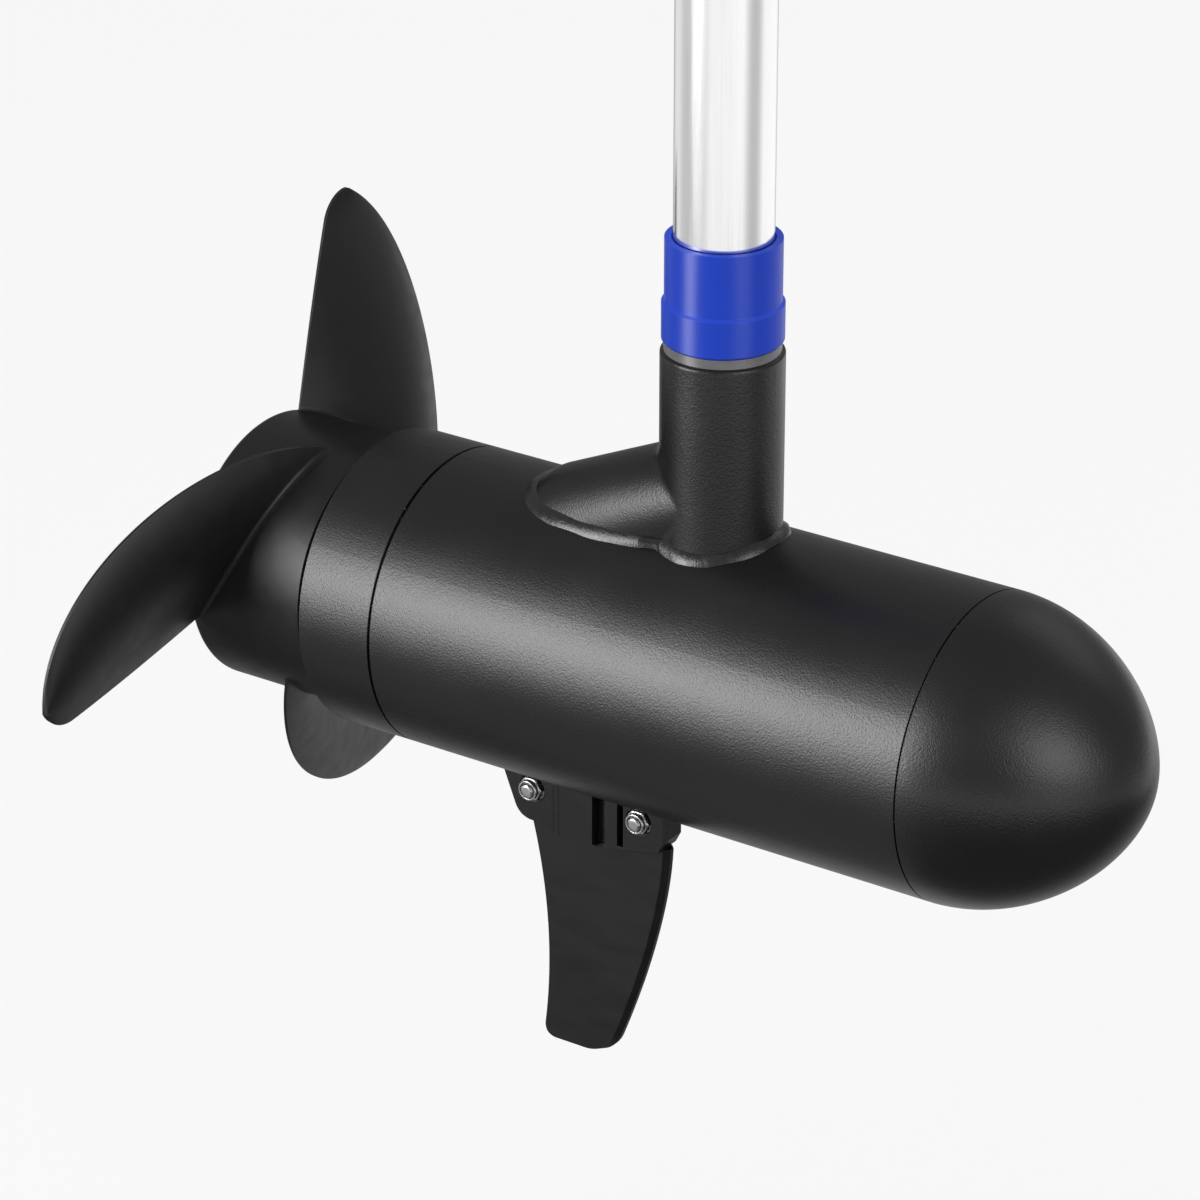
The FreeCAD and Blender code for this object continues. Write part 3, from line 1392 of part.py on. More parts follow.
def fin_outline(inset):
    """Side outline of the fin, its leading edge set back by the inset."""
    top = size(FIN_TOP)
    foot = size(FIN_FOOT)
    rear_low = foot + size("skeg_rear_round")
    front_low = foot + size("skeg_front_round")
    rear_start = (fin_rear(rear_low), rear_low)
    rear_corner = (fin_rear(foot), foot)
    rear_end = (rear_corner[0] + size("skeg_rear_round"), foot)
    front_end = (fin_front(front_low) - inset, front_low)
    lean = fin_front(front_low + 0.5) - fin_front(front_low - 0.5)
    front_corner = (front_end[0] - lean * (front_low - foot), foot)
    front_start = (front_corner[0] - math.hypot(lean, 1) * (front_low - foot), foot)
    rear_heights = [top + (rear_low - top) * i / 5 for i in range(1, 5)]
    front_heights = [front_low + (top - front_low) * i / 6 for i in range(1, 6)]
    return [
        exact((fin_rear(top), top)) + ([(fin_rear(z), z) for z in rear_heights],),
        exact(rear_start) + (rounded(rear_start, rear_corner, rear_end),),
        exact(rear_end),
        exact(front_start) + (rounded(front_start, front_corner, front_end),),
        exact(front_end) + ([(fin_front(z) - inset, z) for z in front_heights],),
        exact((fin_front(top) - inset, top)),
    ]


def skeg_fin(body):
    """Fin as a straight-sided loft through four side outlines, which bevels its leading edge."""
    bevel = size("skeg_bevel")
    half = "skeg_thickness / 2"
    sections = []
    edge = f"({half} - skeg_bevel)"
    for offset, inset in ((half, bevel), (edge, 0), (f"-{edge}", 0), (f"-{half}", bevel)):
        sketch = add_sketch(body, "XZ_Plane", fin_outline(inset))
        shift_sketch(sketch, offset)
        sections.append(sketch)
    fin = body.newObject("PartDesign::AdditiveLoft", "skeg_fin")
    fin.Profile = sections[0]
    fin.Sections = sections[1:]
    fin.Ruled = True
    doc.recompute()


def skeg_head(body):
    """Thick head with a rounded ear at the rear, a cheek, and a block at the front."""
    top = size(SKEG_ABOVE)
    low = size("-housing_radius - skeg_ear_drop")
    ear_top = (-size("skeg_ear_rear"), top)
    ear_corner = (ear_top[0] + size("skeg_ear_lean"), low)
    reach = size("skeg_ear_round")
    slant = math.hypot(ear_corner[0] - ear_top[0], top - low)
    share = reach / slant
    ear_start = tuple(c + (t - c) * share for c, t in zip(ear_corner, ear_top))
    ear_end = (ear_corner[0] + reach, low)
    cheek_foot = "-housing_radius - skeg_cheek_drop"
    block_foot = "-housing_radius - skeg_block_drop"
    pad_across(body, [
        exact(ear_top),
        exact(ear_start) + (rounded(ear_start, ear_corner, ear_end),),
        exact(ear_end),
        ("-skeg_cheek_rear", "-housing_radius - skeg_ear_drop"),
        ("-skeg_cheek_rear", cheek_foot),
        ("-skeg_slot_rear", cheek_foot),
        ("-skeg_block_front - skeg_block_slant", block_foot),
        ("-skeg_block_front", block_foot + " + skeg_block_rise"),
        ("-skeg_block_front", SKEG_ABOVE),
    ], "skeg_head_thickness")


def skeg():
    """Fin below the tab, with a thicker head that the tab enters from above."""
    body = new_body("skeg")
    skeg_fin(body)
    skeg_head(body)
    cut_turned(body, ring_corners("-housing_rear", "housing_front", "1", "housing_radius + skeg_fit"))
    ear_rear = "-skeg_ear_rear - 1"
    ear_foot = "-housing_radius - skeg_cheek_drop"
    pocket_both_sides(body, "skeg_ear_step", [
        (ear_rear, SKEG_ABOVE),
        (ear_rear, ear_foot),
        ("-skeg_cheek_rear", ear_foot),
        ("-skeg_cheek_rear", SKEG_ABOVE),
    ])
    slot_front = "-skeg_slot_rear + skeg_slot_width"
    rib_front = slot_front + " + skeg_rib_width"
    notch_front = rib_front + " + skeg_notch_width"
    slot_foot = "-housing_radius - skeg_cheek_drop + skeg_ear_step"
    notch_foot = "-housing_radius - skeg_notch_drop"
    pocket_both_sides(body, "skeg_slot_depth", [
        ("-skeg_slot_rear", SKEG_ABOVE),
        ("-skeg_slot_rear", slot_foot),
        (slot_front, slot_foot),
        (slot_front, SKEG_ABOVE),
    ], [
        (rib_front, SKEG_ABOVE),
        (rib_front, notch_foot),
        (notch_front, notch_foot),
        (notch_front, SKEG_ABOVE),
    ])
    pocket_both_sides(body, "skeg_recess_depth", circles=bolt_circles("skeg_recess_radius"))
    pocket_across(body, "bracket_thickness + 2 * skeg_fit", bracket_corners("skeg_fit", SKEG_ABOVE))
    pocket_across(body, "2 * skeg_head_thickness",
                  circles=bolt_circles("skeg_bolt_radius + skeg_bolt_clearance"))


def skeg_fasteners():
    """Bolts across the head from the far side, a washer under each end and a lock nut."""
    seat = size("skeg_head_thickness / 2 - skeg_recess_depth")
    thickness = size("skeg_washer_thickness")
    under_head = seat + thickness
    radius = size("skeg_bolt_radius")
    hole_radius = size("skeg_bolt_radius + skeg_bolt_clearance")
    height = size("skeg_nut_height")
    flats = size("skeg_nut_flats")
    z = size(SKEG_BOLT_HEIGHT)
    tail = -under_head - height - size("skeg_bolt_overhang")
    bolts = []
    washers = []
    nuts = []
    for station in (-size("skeg_bolt_rear"), -size("skeg_bolt_front")):
        shank = Part.makeCylinder(radius - PRESS_PLAY, under_head - tail, V(station, tail, z), Y_AXIS)
        head = hex_prism(flats, size("skeg_bolt_head_height"), V(station, under_head, z), Y_AXIS)
        bolts.append(shank.fuse(head).removeSplitter())
        for face in (-under_head, seat):
            disc = Part.makeCylinder(size("skeg_washer_radius"), thickness, V(station, face, z), Y_AXIS)
            washers.append(disc.cut(Part.makeCylinder(hole_radius, thickness, V(station, face, z), Y_AXIS)))
        nuts.append(lock_nut(flats, height, radius, V(station, -under_head, z), V(0, -1, 0)))
    solid_feature("skeg_bolts", Part.makeCompound(bolts))
    solid_feature("skeg_washers", Part.makeCompound(washers))
    solid_feature("skeg_nuts", Part.makeCompound(nuts))


# Build, check and write

def build():
    column_tube()
    steering_bush()
    thrust_ring()
    strut()
    strut_weld()
    motor_housing()
    nose_cone()
    rear_cap()
    o_ring("nose_o_ring", "housing_front", "-")
    o_ring("rear_cap_o_ring", "-housing_rear", "+")
    through_bolts()
    motor_shaft()
    rotor_key()
    bearings()
    bearing_wave_washer()
    bearing_circlip()
    shaft_seals()
    stator_core()
    stator_windings()
    rotor()
    hall_sensors()
    front_bearing_plate()
    controller()
    power_terminal()
    phase_leads()
    supply_cable()
    cable_connector()
    cable_grommet()
    propeller()
    propeller_fasteners()
    skeg_bracket()
    skeg()
    skeg_fasteners()
    doc.recompute()


def write_parts():
    """Check every object, then write each sub-part to its own file."""
    faults = [item.Label for item in doc.Objects if {"Invalid", "Error"} & set(item.State)]
    if faults:
        raise RuntimeError("failed: " + ", ".join(faults))
    kinds = ("PartDesign::Body", "Part::Feature", "Part::Torus")
    pieces = [item for item in doc.Objects if item.TypeId in kinds]
    os.makedirs("parts", exist_ok=True)
    for piece in pieces:
        shape = piece.Shape
        if shape.isNull() or not shape.isValid():
            raise RuntimeError("bad shape: " + piece.Label)
        shape.exportStep(f"parts/{piece.Label}.step")
        print(f"{piece.Label:26s} solids {len(shape.Solids):2d}  volume {shape.Volume / 1000:9.2f} cm3")


build()
write_parts()
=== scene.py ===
"""Dresses the lower unit of an electric outboard motor as in its photograph.

Lengths in the constants are millimetres unless they say otherwise; MM turns them into metres.
"""

import math

import bmesh
import bpy
import numpy as np
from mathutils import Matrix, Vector


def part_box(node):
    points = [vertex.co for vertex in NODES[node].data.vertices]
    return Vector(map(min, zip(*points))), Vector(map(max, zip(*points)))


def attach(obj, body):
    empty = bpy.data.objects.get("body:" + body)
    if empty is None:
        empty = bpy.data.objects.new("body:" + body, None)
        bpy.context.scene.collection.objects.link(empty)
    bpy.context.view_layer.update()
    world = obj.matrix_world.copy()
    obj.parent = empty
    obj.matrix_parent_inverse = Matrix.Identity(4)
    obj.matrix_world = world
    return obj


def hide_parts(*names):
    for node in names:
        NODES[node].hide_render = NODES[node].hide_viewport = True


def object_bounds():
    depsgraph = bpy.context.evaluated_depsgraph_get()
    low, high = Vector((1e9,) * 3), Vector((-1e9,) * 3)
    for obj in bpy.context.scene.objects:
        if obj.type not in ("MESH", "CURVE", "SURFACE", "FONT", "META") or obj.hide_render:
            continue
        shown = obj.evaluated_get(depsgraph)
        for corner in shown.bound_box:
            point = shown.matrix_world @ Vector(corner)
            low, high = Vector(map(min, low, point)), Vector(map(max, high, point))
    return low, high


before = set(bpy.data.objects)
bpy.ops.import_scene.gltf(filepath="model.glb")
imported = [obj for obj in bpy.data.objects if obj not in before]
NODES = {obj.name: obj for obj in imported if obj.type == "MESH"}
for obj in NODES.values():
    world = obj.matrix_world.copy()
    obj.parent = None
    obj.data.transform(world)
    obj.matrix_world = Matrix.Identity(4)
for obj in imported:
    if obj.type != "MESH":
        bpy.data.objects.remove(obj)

MM = 0.001
CAD_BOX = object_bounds()

# the motor's axis, its two seams with half the width of their grooves, and the heights above the
# axis between which the housing's fine grain turns into the strut's coarser one
AXIS_HEIGHT = -315.0
SEAMS = ((-130.0, 0.9), (122.0, 0.45))
GRAIN_CHANGE = (68.0, 78.0)

# stations of the mould's lines on the skeg's head, and the heights between which they fade out
MOULD_LINES = (-77.7, -75.0)
MOULD_LINES_FADE = (-409.5, -408.5)

# camera as worked out from the photograph: its place in metres and its turn in degrees
CAMERA_PLACE = (1.01224, -1.56260, 0.57883)
CAMERA_AZIMUTH = 34.425
CAMERA_ELEVATION = 24.854
CAMERA_LENS = 152.61
SENSOR_WIDTH = 36.0

# studio, in metres; tones are as bright as they look, where 1 is white, and each change is an azimuth
# in degrees from straight in front towards the nose, a half angle to fade over, and a tone to add
FLOOR_GAP = 0.20
FLOOR_SIZE = 30.0
FLOOR_PAPER = 0.20
FLOOR_GLOW = 0.72
PALE = 0.94
AMBIENT = 1.0
DIM = 0.22
RUG_TONE = 0.08
RUG_CHANGES = ((-35.0, 40.0, 0.22), (-145.0, 60.0, 0.38), (165.0, 50.0, 0.30))
RING_TONE = 1.05
RING_CHANGES = ((-44.0, 45.0, -0.62), (-100.0, 35.0, -0.25), (100.0, 26.0, -0.50), (-145.0, 32.0, -0.70))
ROOM_STEPS = 72
ROOM_RADIUS = 3.2
RUG_RADIUS = 1.2
ROOM_TOP = 2.2
CARD_LIFT = 0.01
AIM = (0.0, 0.0, -0.3)
SIDE_AIM = (0.15, 0.0, -0.3)

# weld bead round the strut's foot; its size is a share of the plain bead's, and the waves are lengths
BEAD_STATIONS = 1800
BEAD_ACROSS = 12
BEAD_SIZE = 0.76
BEAD_CROWN = 0.10
RIPPLE_PITCH = 2.0
RIPPLE_HEIGHT = 0.42
RIPPLE_BOW = 0.9
RIPPLE_STEEPNESS = 0.7
CROWN_SWELL = 0.08
CROWN_WAVE = 7.7
TOE_SINK = 0.12
TOE_WANDER = 0.35
TOE_WAVES = (5.3, 2.9)

# propeller: the hub's stations and radii, then the blades' outline, with its stations counted from
# the column; the angle, the skew and the last row's turn are in degrees
HUB_REAR = -230.0
HUB_RADIUS = 58.0
HUB_ROUND = 4.0
HUB_WALL = 4.0
HUB_BORE = 8.05
HUB_BOSS = 15.0
HUB_BOSS_FRONT = -178.5
NUT_POCKET = 17.0
NUT_POCKET_DEPTH = 8.0
HUB_NECK = 55.5
HUB_NECK_LENGTH = 3.6
HUB_RIBS = 6
HUB_RIB_WIDTH = 3.0
HUB_RIB_SINK = 1.0
HUB_CHAMFER = 0.3
ROUND_STEPS = 8
RIB_FACES = ((0, 1, 3, 2), (4, 5, 7, 6), (0, 1, 5, 4), (2, 3, 7, 6), (0, 2, 6, 4), (1, 3, 7, 5))
BLADES = 3
BLADE_REACH = 155.2
BLADE_ANGLE = 73.3
BLADE_SKEW = -1.1
BLADE_CHORD = 94.0
BLADE_FULLNESS = 1.95
TRAILING_ROOT = -225.8
BLADE_TIP = -229.5
BLADE_RAKE = 41.0
BLADE_RAKE_POWER = 1.22
BLADE_CAMBER = 5.0
ROOT_THICKNESS = 6.0
TIP_THICKNESS = 2.6
EDGE_THICKNESS = 1.4
ROOT_FILLET = 2.0
FILLET_SPREAD = 0.3
TIP_ROUND = 16.0
LAST_ROW = 82.7
BLADE_ROWS = 72
BLADE_COLUMNS = 28

# threads and lock nuts of the skeg and of the propeller
THREAD_PITCH = 1.0
THREAD_DEPTH = 0.5
THREAD_CHAMFER = 0.5
THREAD_STEPS = 8
BOLT_RADIUS = 3.0
BOLT_NUT_COLLAR = 2.0
SHAFT_THREAD_RADIUS = 6.0
SHAFT_NUT_COLLAR = 2.6

# steps round a turned piece, the angle in degrees from which an edge is sharp, and the bevel's samples
RING_STEPS = 144
SHARP_ANGLE = 42.0
BEVEL_SAMPLES = 6


# nodes of a material

def start_material(name, colour, roughness, metallic=0.0, specular=0.5):
    """A material with its tree and shader, and the values that are the same all over."""
    material = bpy.data.materials.new(name)
    material.use_nodes = True
    tree = material.node_tree
    shader = tree.nodes["Principled BSDF"]
    shader.inputs["Base Color"].default_value = (*colour, 1.0)
    shader.inputs["Roughness"].default_value = roughness
    shader.inputs["Metallic"].default_value = metallic
    shader.inputs["Specular IOR Level"].default_value = specular
    return material, tree, shader


def add(tree, kind, settings=None, **inputs):
    """Adds a node, with its settings, and sets or links its inputs by name."""
    made = tree.nodes.new(kind)
    for name, value in (settings or {}).items():
        setattr(made, name, value)
    for name, value in inputs.items():
        socket = made.inputs[name.replace("_", " ")]
        if isinstance(value, bpy.types.NodeSocket):
            tree.links.new(value, socket)
        else:
            socket.default_value = value
    return made


def calculate(tree, operation, first, second=0.0):
    made = tree.nodes.new("ShaderNodeMath")
    made.operation = operation
    for socket, value in zip(made.inputs, (first, second)):
        if isinstance(value, bpy.types.NodeSocket):
            tree.links.new(value, socket)
        else:
            socket.default_value = value
    return made.outputs[0]


def surface_point(tree, stretch=(1.0, 1.0, 1.0)):
    """The point on the part, in metres. A stretch below 1 draws a pattern out that way."""
    point = tree.nodes.new("ShaderNodeTexCoord").outputs["Object"]
    if stretch == (1.0, 1.0, 1.0):
        return point
    return add(tree, "ShaderNodeMapping", Vector=point, Scale=stretch).outputs["Vector"]


def coordinate(tree, axis):
    split = add(tree, "ShaderNodeSeparateXYZ", Vector=surface_point(tree))
    return split.outputs[axis]


def noise(tree, length, detail=2.0, stretch=(1.0, 1.0, 1.0)):
    """Cloudy noise whose clouds are about that many millimetres long, from 0 to 1."""
    made = add(tree, "ShaderNodeTexNoise", Vector=surface_point(tree, stretch),
               Scale=1.0 / (length * MM), Detail=detail)
    return made.outputs["Fac"]


def cells(tree, length):
    """Rounded bumps about that many millimetres wide."""
    made = add(tree, "ShaderNodeTexVoronoi", {"feature": "SMOOTH_F1"},
               Vector=surface_point(tree), Scale=1.0 / (length * MM), Smoothness=0.6)
    return made.outputs["Distance"]


def remap(tree, value, low, high, start=0.0, end=1.0):
    """Maps start..end of a value to low..high, and holds it there outside."""
    made = add(tree, "ShaderNodeMapRange", Value=value)
    made.inputs["From Min"].default_value = start
    made.inputs["From Max"].default_value = end
    made.inputs["To Min"].default_value = low
    made.inputs["To Max"].default_value = high
    return made.outputs["Result"]


def mix_colour(tree, factor, first, second):
    made = tree.nodes.new("ShaderNodeMix")
    made.data_type = "RGBA"
    for socket, value in ((made.inputs[0], factor), (made.inputs[6], first), (made.inputs[7], second)):
        if isinstance(value, bpy.types.NodeSocket):
            tree.links.new(value, socket)
        elif isinstance(value, tuple):
            socket.default_value = (*value, 1.0)
        else:
            socket.default_value = value
    return made.outputs[2]


def rings(tree, distance, pitch):
    """Turning marks: waves of that pitch over a distance from a line or plane, from -1 to 1."""
    return calculate(tree, "SINE", calculate(tree, "MULTIPLY", distance, 2 * math.pi / (pitch * MM)))


def motor_radius(tree):
    """Distance from the motor's axis."""
    side = coordinate(tree, "Y")
    height = calculate(tree, "SUBTRACT", coordinate(tree, "Z"), AXIS_HEIGHT * MM)
    squares = calculate(tree, "ADD", calculate(tree, "MULTIPLY", side, side),
                        calculate(tree, "MULTIPLY", height, height))
    return calculate(tree, "SQRT", squares)


def edges(tree, radius):
    """1 along the part's sharp edges and 0 on its open faces."""
    soft = add(tree, "ShaderNodeBevel", {"samples": BEVEL_SAMPLES}, Radius=radius * MM).outputs["Normal"]
    flat = tree.nodes.new("ShaderNodeNewGeometry").outputs["Normal"]
    together = add(tree, "ShaderNodeVectorMath", {"operation": "DOT_PRODUCT"})
    tree.links.new(soft, together.inputs[0])
    tree.links.new(flat, together.inputs[1])
    return remap(tree, together.outputs["Value"], 1.0, 0.0, 0.80, 0.985)


def bump(tree, shader, *layers, edge_radius=0.0):
    """Adds layers of (height from 0 to 1, depth in millimetres), over edges of that radius."""
    normal = None
    if edge_radius:
        bevel = add(tree, "ShaderNodeBevel", {"samples": BEVEL_SAMPLES}, Radius=edge_radius * MM)
        normal = bevel.outputs["Normal"]
    for height, depth in layers:
        made = add(tree, "ShaderNodeBump", Height=height, Distance=depth * MM)
        if normal is not None:
            tree.links.new(normal, made.inputs["Normal"])
        normal = made.outputs["Normal"]
    tree.links.new(normal, shader.inputs["Normal"])


def colour_by(tree, shader, factor, first, second):
    tree.links.new(mix_colour(tree, factor, first, second), shader.inputs["Base Color"])


def roughness_by(tree, shader, value, low, high):
    tree.links.new(remap(tree, value, low, high, 0.3, 0.7), shader.inputs["Roughness"])


# materials of the outside

def near_seams(tree):
    """1 in the grooves of the housing's two seams and 0 beside them."""
    near = 0.0
    for seam, half_width in SEAMS:
        gap = calculate(tree, "SUBTRACT", coordinate(tree, "X"), seam * MM)
        here = remap(tree, calculate(tree, "ABSOLUTE", gap), 1.0, 0.0,
                     0.6 * half_width * MM, half_width * MM)
        near = calculate(tree, "MAXIMUM", near, here)
    return near


def powder_coat():
    """Satin black with a fine leathery grain, coarser on the casting, chipped along the seams and painted
    darker in their grooves as shade.
    """
    material, tree, shader = start_material("black_powder_coat", (0.008, 0.008, 0.009), 0.4)
    patches = noise(tree, 45.0, 3.0)
    seam = near_seams(tree)
    chips = calculate(tree, "MULTIPLY", seam, remap(tree, noise(tree, 0.9), 0.0, 1.0, 0.70, 0.74))
    coat = mix_colour(tree, patches, (0.0060, 0.0060, 0.0068), (0.0100, 0.0098, 0.0102))
    # painted shade: the coat is painted nearly black in the seams' grooves
    shaded = mix_colour(tree, seam, coat, (0.0010, 0.0010, 0.0010))
    colour_by(tree, shader, chips, shaded, (0.30, 0.30, 0.29))
    roughness_by(tree, shader, patches, 0.29, 0.35)
    gloss = remap(tree, calculate(tree, "SUBTRACT", seam, chips), 0.6, 0.04)
    tree.links.new(gloss, shader.inputs["Specular IOR Level"])
    start, end = GRAIN_CHANGE
    casting = remap(tree, coordinate(tree, "Z"), 0.0, 1.0, (AXIS_HEIGHT + start) * MM,
                    (AXIS_HEIGHT + end) * MM)
    wrinkles = calculate(tree, "MULTIPLY", casting, noise(tree, 2.2, 3.0))
    bump(tree, shader, (patches, 0.25), (wrinkles, 0.08), (noise(tree, 0.85, 1.0), 0.085),
         (cells(tree, 0.7), 0.04), edge_radius=0.12)
    return material


def weld_bead():
    """Coated weld metal, glossier than the coat round it."""
    material, tree, shader = start_material("weld_bead", (0.016, 0.015, 0.014), 0.3, 0.0, 0.8)
    heat = noise(tree, 9.0, 3.0)
    colour_by(tree, shader, heat, (0.008, 0.008, 0.008), (0.018, 0.018, 0.018))
    roughness_by(tree, shader, noise(tree, 2.2), 0.20, 0.32)
    bump(tree, shader, (noise(tree, 0.9, 3.0), 0.12))
    return material


def propeller_plastic():
    """Smooth filled nylon, with slight flow marks and a painted highlight along its thin edges."""
    material, tree, shader = start_material("propeller_plastic", (0.010, 0.010, 0.010), 0.38, 0.0, 0.40)
    flow = noise(tree, 26.0, 3.0, (1.0, 1.0, 0.45))
    rim = edges(tree, 0.45)
    plastic = mix_colour(tree, flow, (0.0070, 0.0070, 0.0075), (0.0125, 0.0122, 0.0122))
    # painted highlight: the thin edges are painted paler
    colour_by(tree, shader, calculate(tree, "MULTIPLY", rim, 0.7), plastic, (0.10, 0.10, 0.10))
    roughness_by(tree, shader, noise(tree, 7.0), 0.34, 0.42)
    bump(tree, shader, (flow, 0.22), (noise(tree, 0.7), 0.012), edge_radius=0.2)
    return material


def mould_lines(tree):
    """Faint upright lines that the mould's inserts leave on the skeg's head."""
    lines = 0.0
    for place in MOULD_LINES:
        gap = calculate(tree, "SUBTRACT", coordinate(tree, "X"), place * MM)
        line = remap(tree, calculate(tree, "ABSOLUTE", gap), 1.0, 0.0, 0.1 * MM, 0.3 * MM)
        lines = calculate(tree, "MAXIMUM", lines, line)
    start, end = MOULD_LINES_FADE
    head = remap(tree, coordinate(tree, "Z"), 0.0, 1.0, start * MM, end * MM)
    return calculate(tree, "MULTIPLY", lines, head)


def skeg_plastic():
    """Matte moulded black, painted paler along its bevels, partly as rubbed wear and partly as a painted
    highlight.
    """
    material, tree, shader = start_material("skeg_plastic", (0.012, 0.012, 0.012), 0.5, 0.0, 0.28)
    clouds = noise(tree, 18.0, 3.0)
    scuffs = noise(tree, 6.0, 4.0, (0.25, 1.0, 1.0))
    wear_and_edge_highlight = calculate(tree, "MULTIPLY", edges(tree, 0.6), remap(tree, scuffs, 0.0, 0.8, 0.35, 0.6))
    plastic = mix_colour(tree, clouds, (0.0050, 0.0050, 0.0054), (0.0085, 0.0083, 0.0082))
    # paler bevels: a painted highlight, broken up by scuffs of rubbed wear
    colour_by(tree, shader, wear_and_edge_highlight, plastic, (0.055, 0.055, 0.055))
    roughness_by(tree, shader, scuffs, 0.44, 0.56)
    bump(tree, shader, (mould_lines(tree), 0.12), (noise(tree, 0.45, 3.0), 0.012), edge_radius=0.3)
    return material


def drawn_aluminium():
    """Bright drawn tube with fine streaks along its length."""
    material, tree, shader = start_material("drawn_aluminium", (0.93, 0.93, 0.93), 0.26, 1.0)
    streaks = noise(tree, 0.35, 3.0, (1.0, 1.0, 0.008))
    haze = noise(tree, 30.0, 3.0, (1.0, 1.0, 0.4))
    colour_by(tree, shader, haze, (0.91, 0.91, 0.91), (0.95, 0.95, 0.95))
    roughness_by(tree, shader, streaks, 0.17, 0.23)
    bump(tree, shader, (streaks, 0.0012), edge_radius=0.3)
    return material


def lathe_turned(tree, shader):
    """Draws highlights out along Z, as the fine marks of turning do."""
    shader.inputs["Anisotropic"].default_value = 0.8
    shader.inputs["Anisotropic Rotation"].default_value = 0.25
    around = add(tree, "ShaderNodeTangent", {"direction_type": "RADIAL", "axis": "Z"})
    tree.links.new(around.outputs["Tangent"], shader.inputs["Tangent"])


def blue_nylon():
    """Saturated blue nylon, turned on a lathe, painted a paler blue along its edges as a highlight."""
    material, tree, shader = start_material("blue_nylon", (0.008, 0.050, 0.54), 0.40, 0.0, 0.36)
    clouds = noise(tree, 11.0, 3.0)
    rim = edges(tree, 0.35)
    nylon = mix_colour(tree, clouds, (0.0055, 0.046, 0.53), (0.0085, 0.054, 0.57))
    # painted highlight: the edges are painted a paler blue
    colour_by(tree, shader, calculate(tree, "MULTIPLY", rim, 0.35), nylon, (0.09, 0.17, 0.72))
    roughness_by(tree, shader, noise(tree, 3.0, 3.0, (1.0, 1.0, 6.0)), 0.36, 0.44)
    lathe_turned(tree, shader)
    turned = remap(tree, rings(tree, coordinate(tree, "Z"), 0.45), 0.0, 1.0, -1.0, 1.0)
    bump(tree, shader, (turned, 0.004), (noise(tree, 0.6), 0.006), edge_radius=0.2)
    return material


def grey_acetal():
    """Grey plastic, turned on a lathe like the blue."""
    material, tree, shader = start_material("grey_acetal", (0.16, 0.16, 0.165), 0.40)
    clouds = noise(tree, 6.0, 3.0)
    colour_by(tree, shader, clouds, (0.13, 0.13, 0.135), (0.19, 0.19, 0.195))
    roughness_by(tree, shader, noise(tree, 2.0), 0.34, 0.46)
    lathe_turned(tree, shader)
    turned = remap(tree, rings(tree, coordinate(tree, "Z"), 0.5), 0.0, 1.0, -1.0, 1.0)
    bump(tree, shader, (turned, 0.005), (noise(tree, 0.4), 0.01), edge_radius=0.3)
    return material


def polished_metal(name, colour, roughness):
    """Bare metal with fine scratches, painted brighter along its edges as a highlight."""
    material, tree, shader = start_material(name, colour, roughness, 1.0)
    scratches = noise(tree, 0.25, 3.0, (1.0, 1.0, 0.06))
    dull = noise(tree, 5.0, 3.0)
    darker = tuple(0.86 * part for part in colour)
    brighter = tuple(min(1.0, 1.12 * part) for part in colour)
    base = mix_colour(tree, dull, darker, colour)
    # painted highlight: the edges are painted brighter
    colour_by(tree, shader, edges(tree, 0.25), base, brighter)
    roughness_by(tree, shader, scratches, 0.75 * roughness, 1.35 * roughness)
    bump(tree, shader, (scratches, 0.002), edge_radius=0.15)
    return material


def stainless():
    return polished_metal("stainless", (0.78, 0.78, 0.77), 0.22)


def nylon_insert():
    """The locking ring inside the nuts."""
    material, tree, shader = start_material("nylon_insert", (0.030, 0.032, 0.036), 0.4)
    marks = noise(tree, 0.8, 3.0)
    colour_by(tree, shader, marks, (0.020, 0.021, 0.024), (0.045, 0.047, 0.052))
    roughness_by(tree, shader, marks, 0.34, 0.48)
    bump(tree, shader, (marks, 0.01))
    return material


# materials of the inside

def turned_metal(name, colour, roughness, distance, pitch, depth):
    """Metal with turning marks over a distance, which is a function of the tree."""
    material, tree, shader = start_material(name, colour, roughness, 1.0)
    marks = remap(tree, rings(tree, distance(tree), pitch), 0.0, 1.0, -1.0, 1.0)
    dull = noise(tree, 6.0, 3.0)
    colour_by(tree, shader, dull, tuple(0.84 * part for part in colour), colour)
    roughness_by(tree, shader, noise(tree, 1.2), 0.8 * roughness, 1.25 * roughness)
    bump(tree, shader, (marks, depth), edge_radius=0.2)
    return material


def along_motor(tree):
    return coordinate(tree, "X")


def shaft_steel():
    return turned_metal("shaft_steel", (0.55, 0.55, 0.56), 0.24, along_motor, 0.35, 0.003)


def bearing_steel():
    return polished_metal("bearing_steel", (0.66, 0.66, 0.67), 0.10)


def bearing_cage():
    return polished_metal("bearing_cage", (0.52, 0.50, 0.45), 0.32)


def machined_aluminium():
    return turned_metal("machined_aluminium", (0.72, 0.73, 0.74), 0.30, motor_radius, 0.6, 0.006)


def brass_spacer():
    return turned_metal("brass_spacer", (0.70, 0.50, 0.20), 0.26, along_motor, 0.5, 0.004)


def magnet_nickel():
    return polished_metal("magnet_nickel", (0.60, 0.58, 0.53), 0.20)


def laminations():
    """Stacked electrical steel: a groove every half millimetre, painted darker as shade, varnished
    brownish.
    """
    material, tree, shader = start_material("laminations", (0.20, 0.18, 0.16), 0.4, 0.8)
    sheets = remap(tree, rings(tree, along_motor(tree), 0.5), 0.0, 1.0, -1.0, 1.0)
    varnish = noise(tree, 8.0, 3.0)
    steel = mix_colour(tree, varnish, (0.15, 0.13, 0.11), (0.24, 0.22, 0.20))
    # painted shade at the bottom of each groove between the sheets
    colour_by(tree, shader, remap(tree, sheets, 0.7, 0.0, 0.0, 0.25), steel, (0.04, 0.035, 0.03))
    roughness_by(tree, shader, varnish, 0.32, 0.48)
    bump(tree, shader, (sheets, 0.05))
    return material


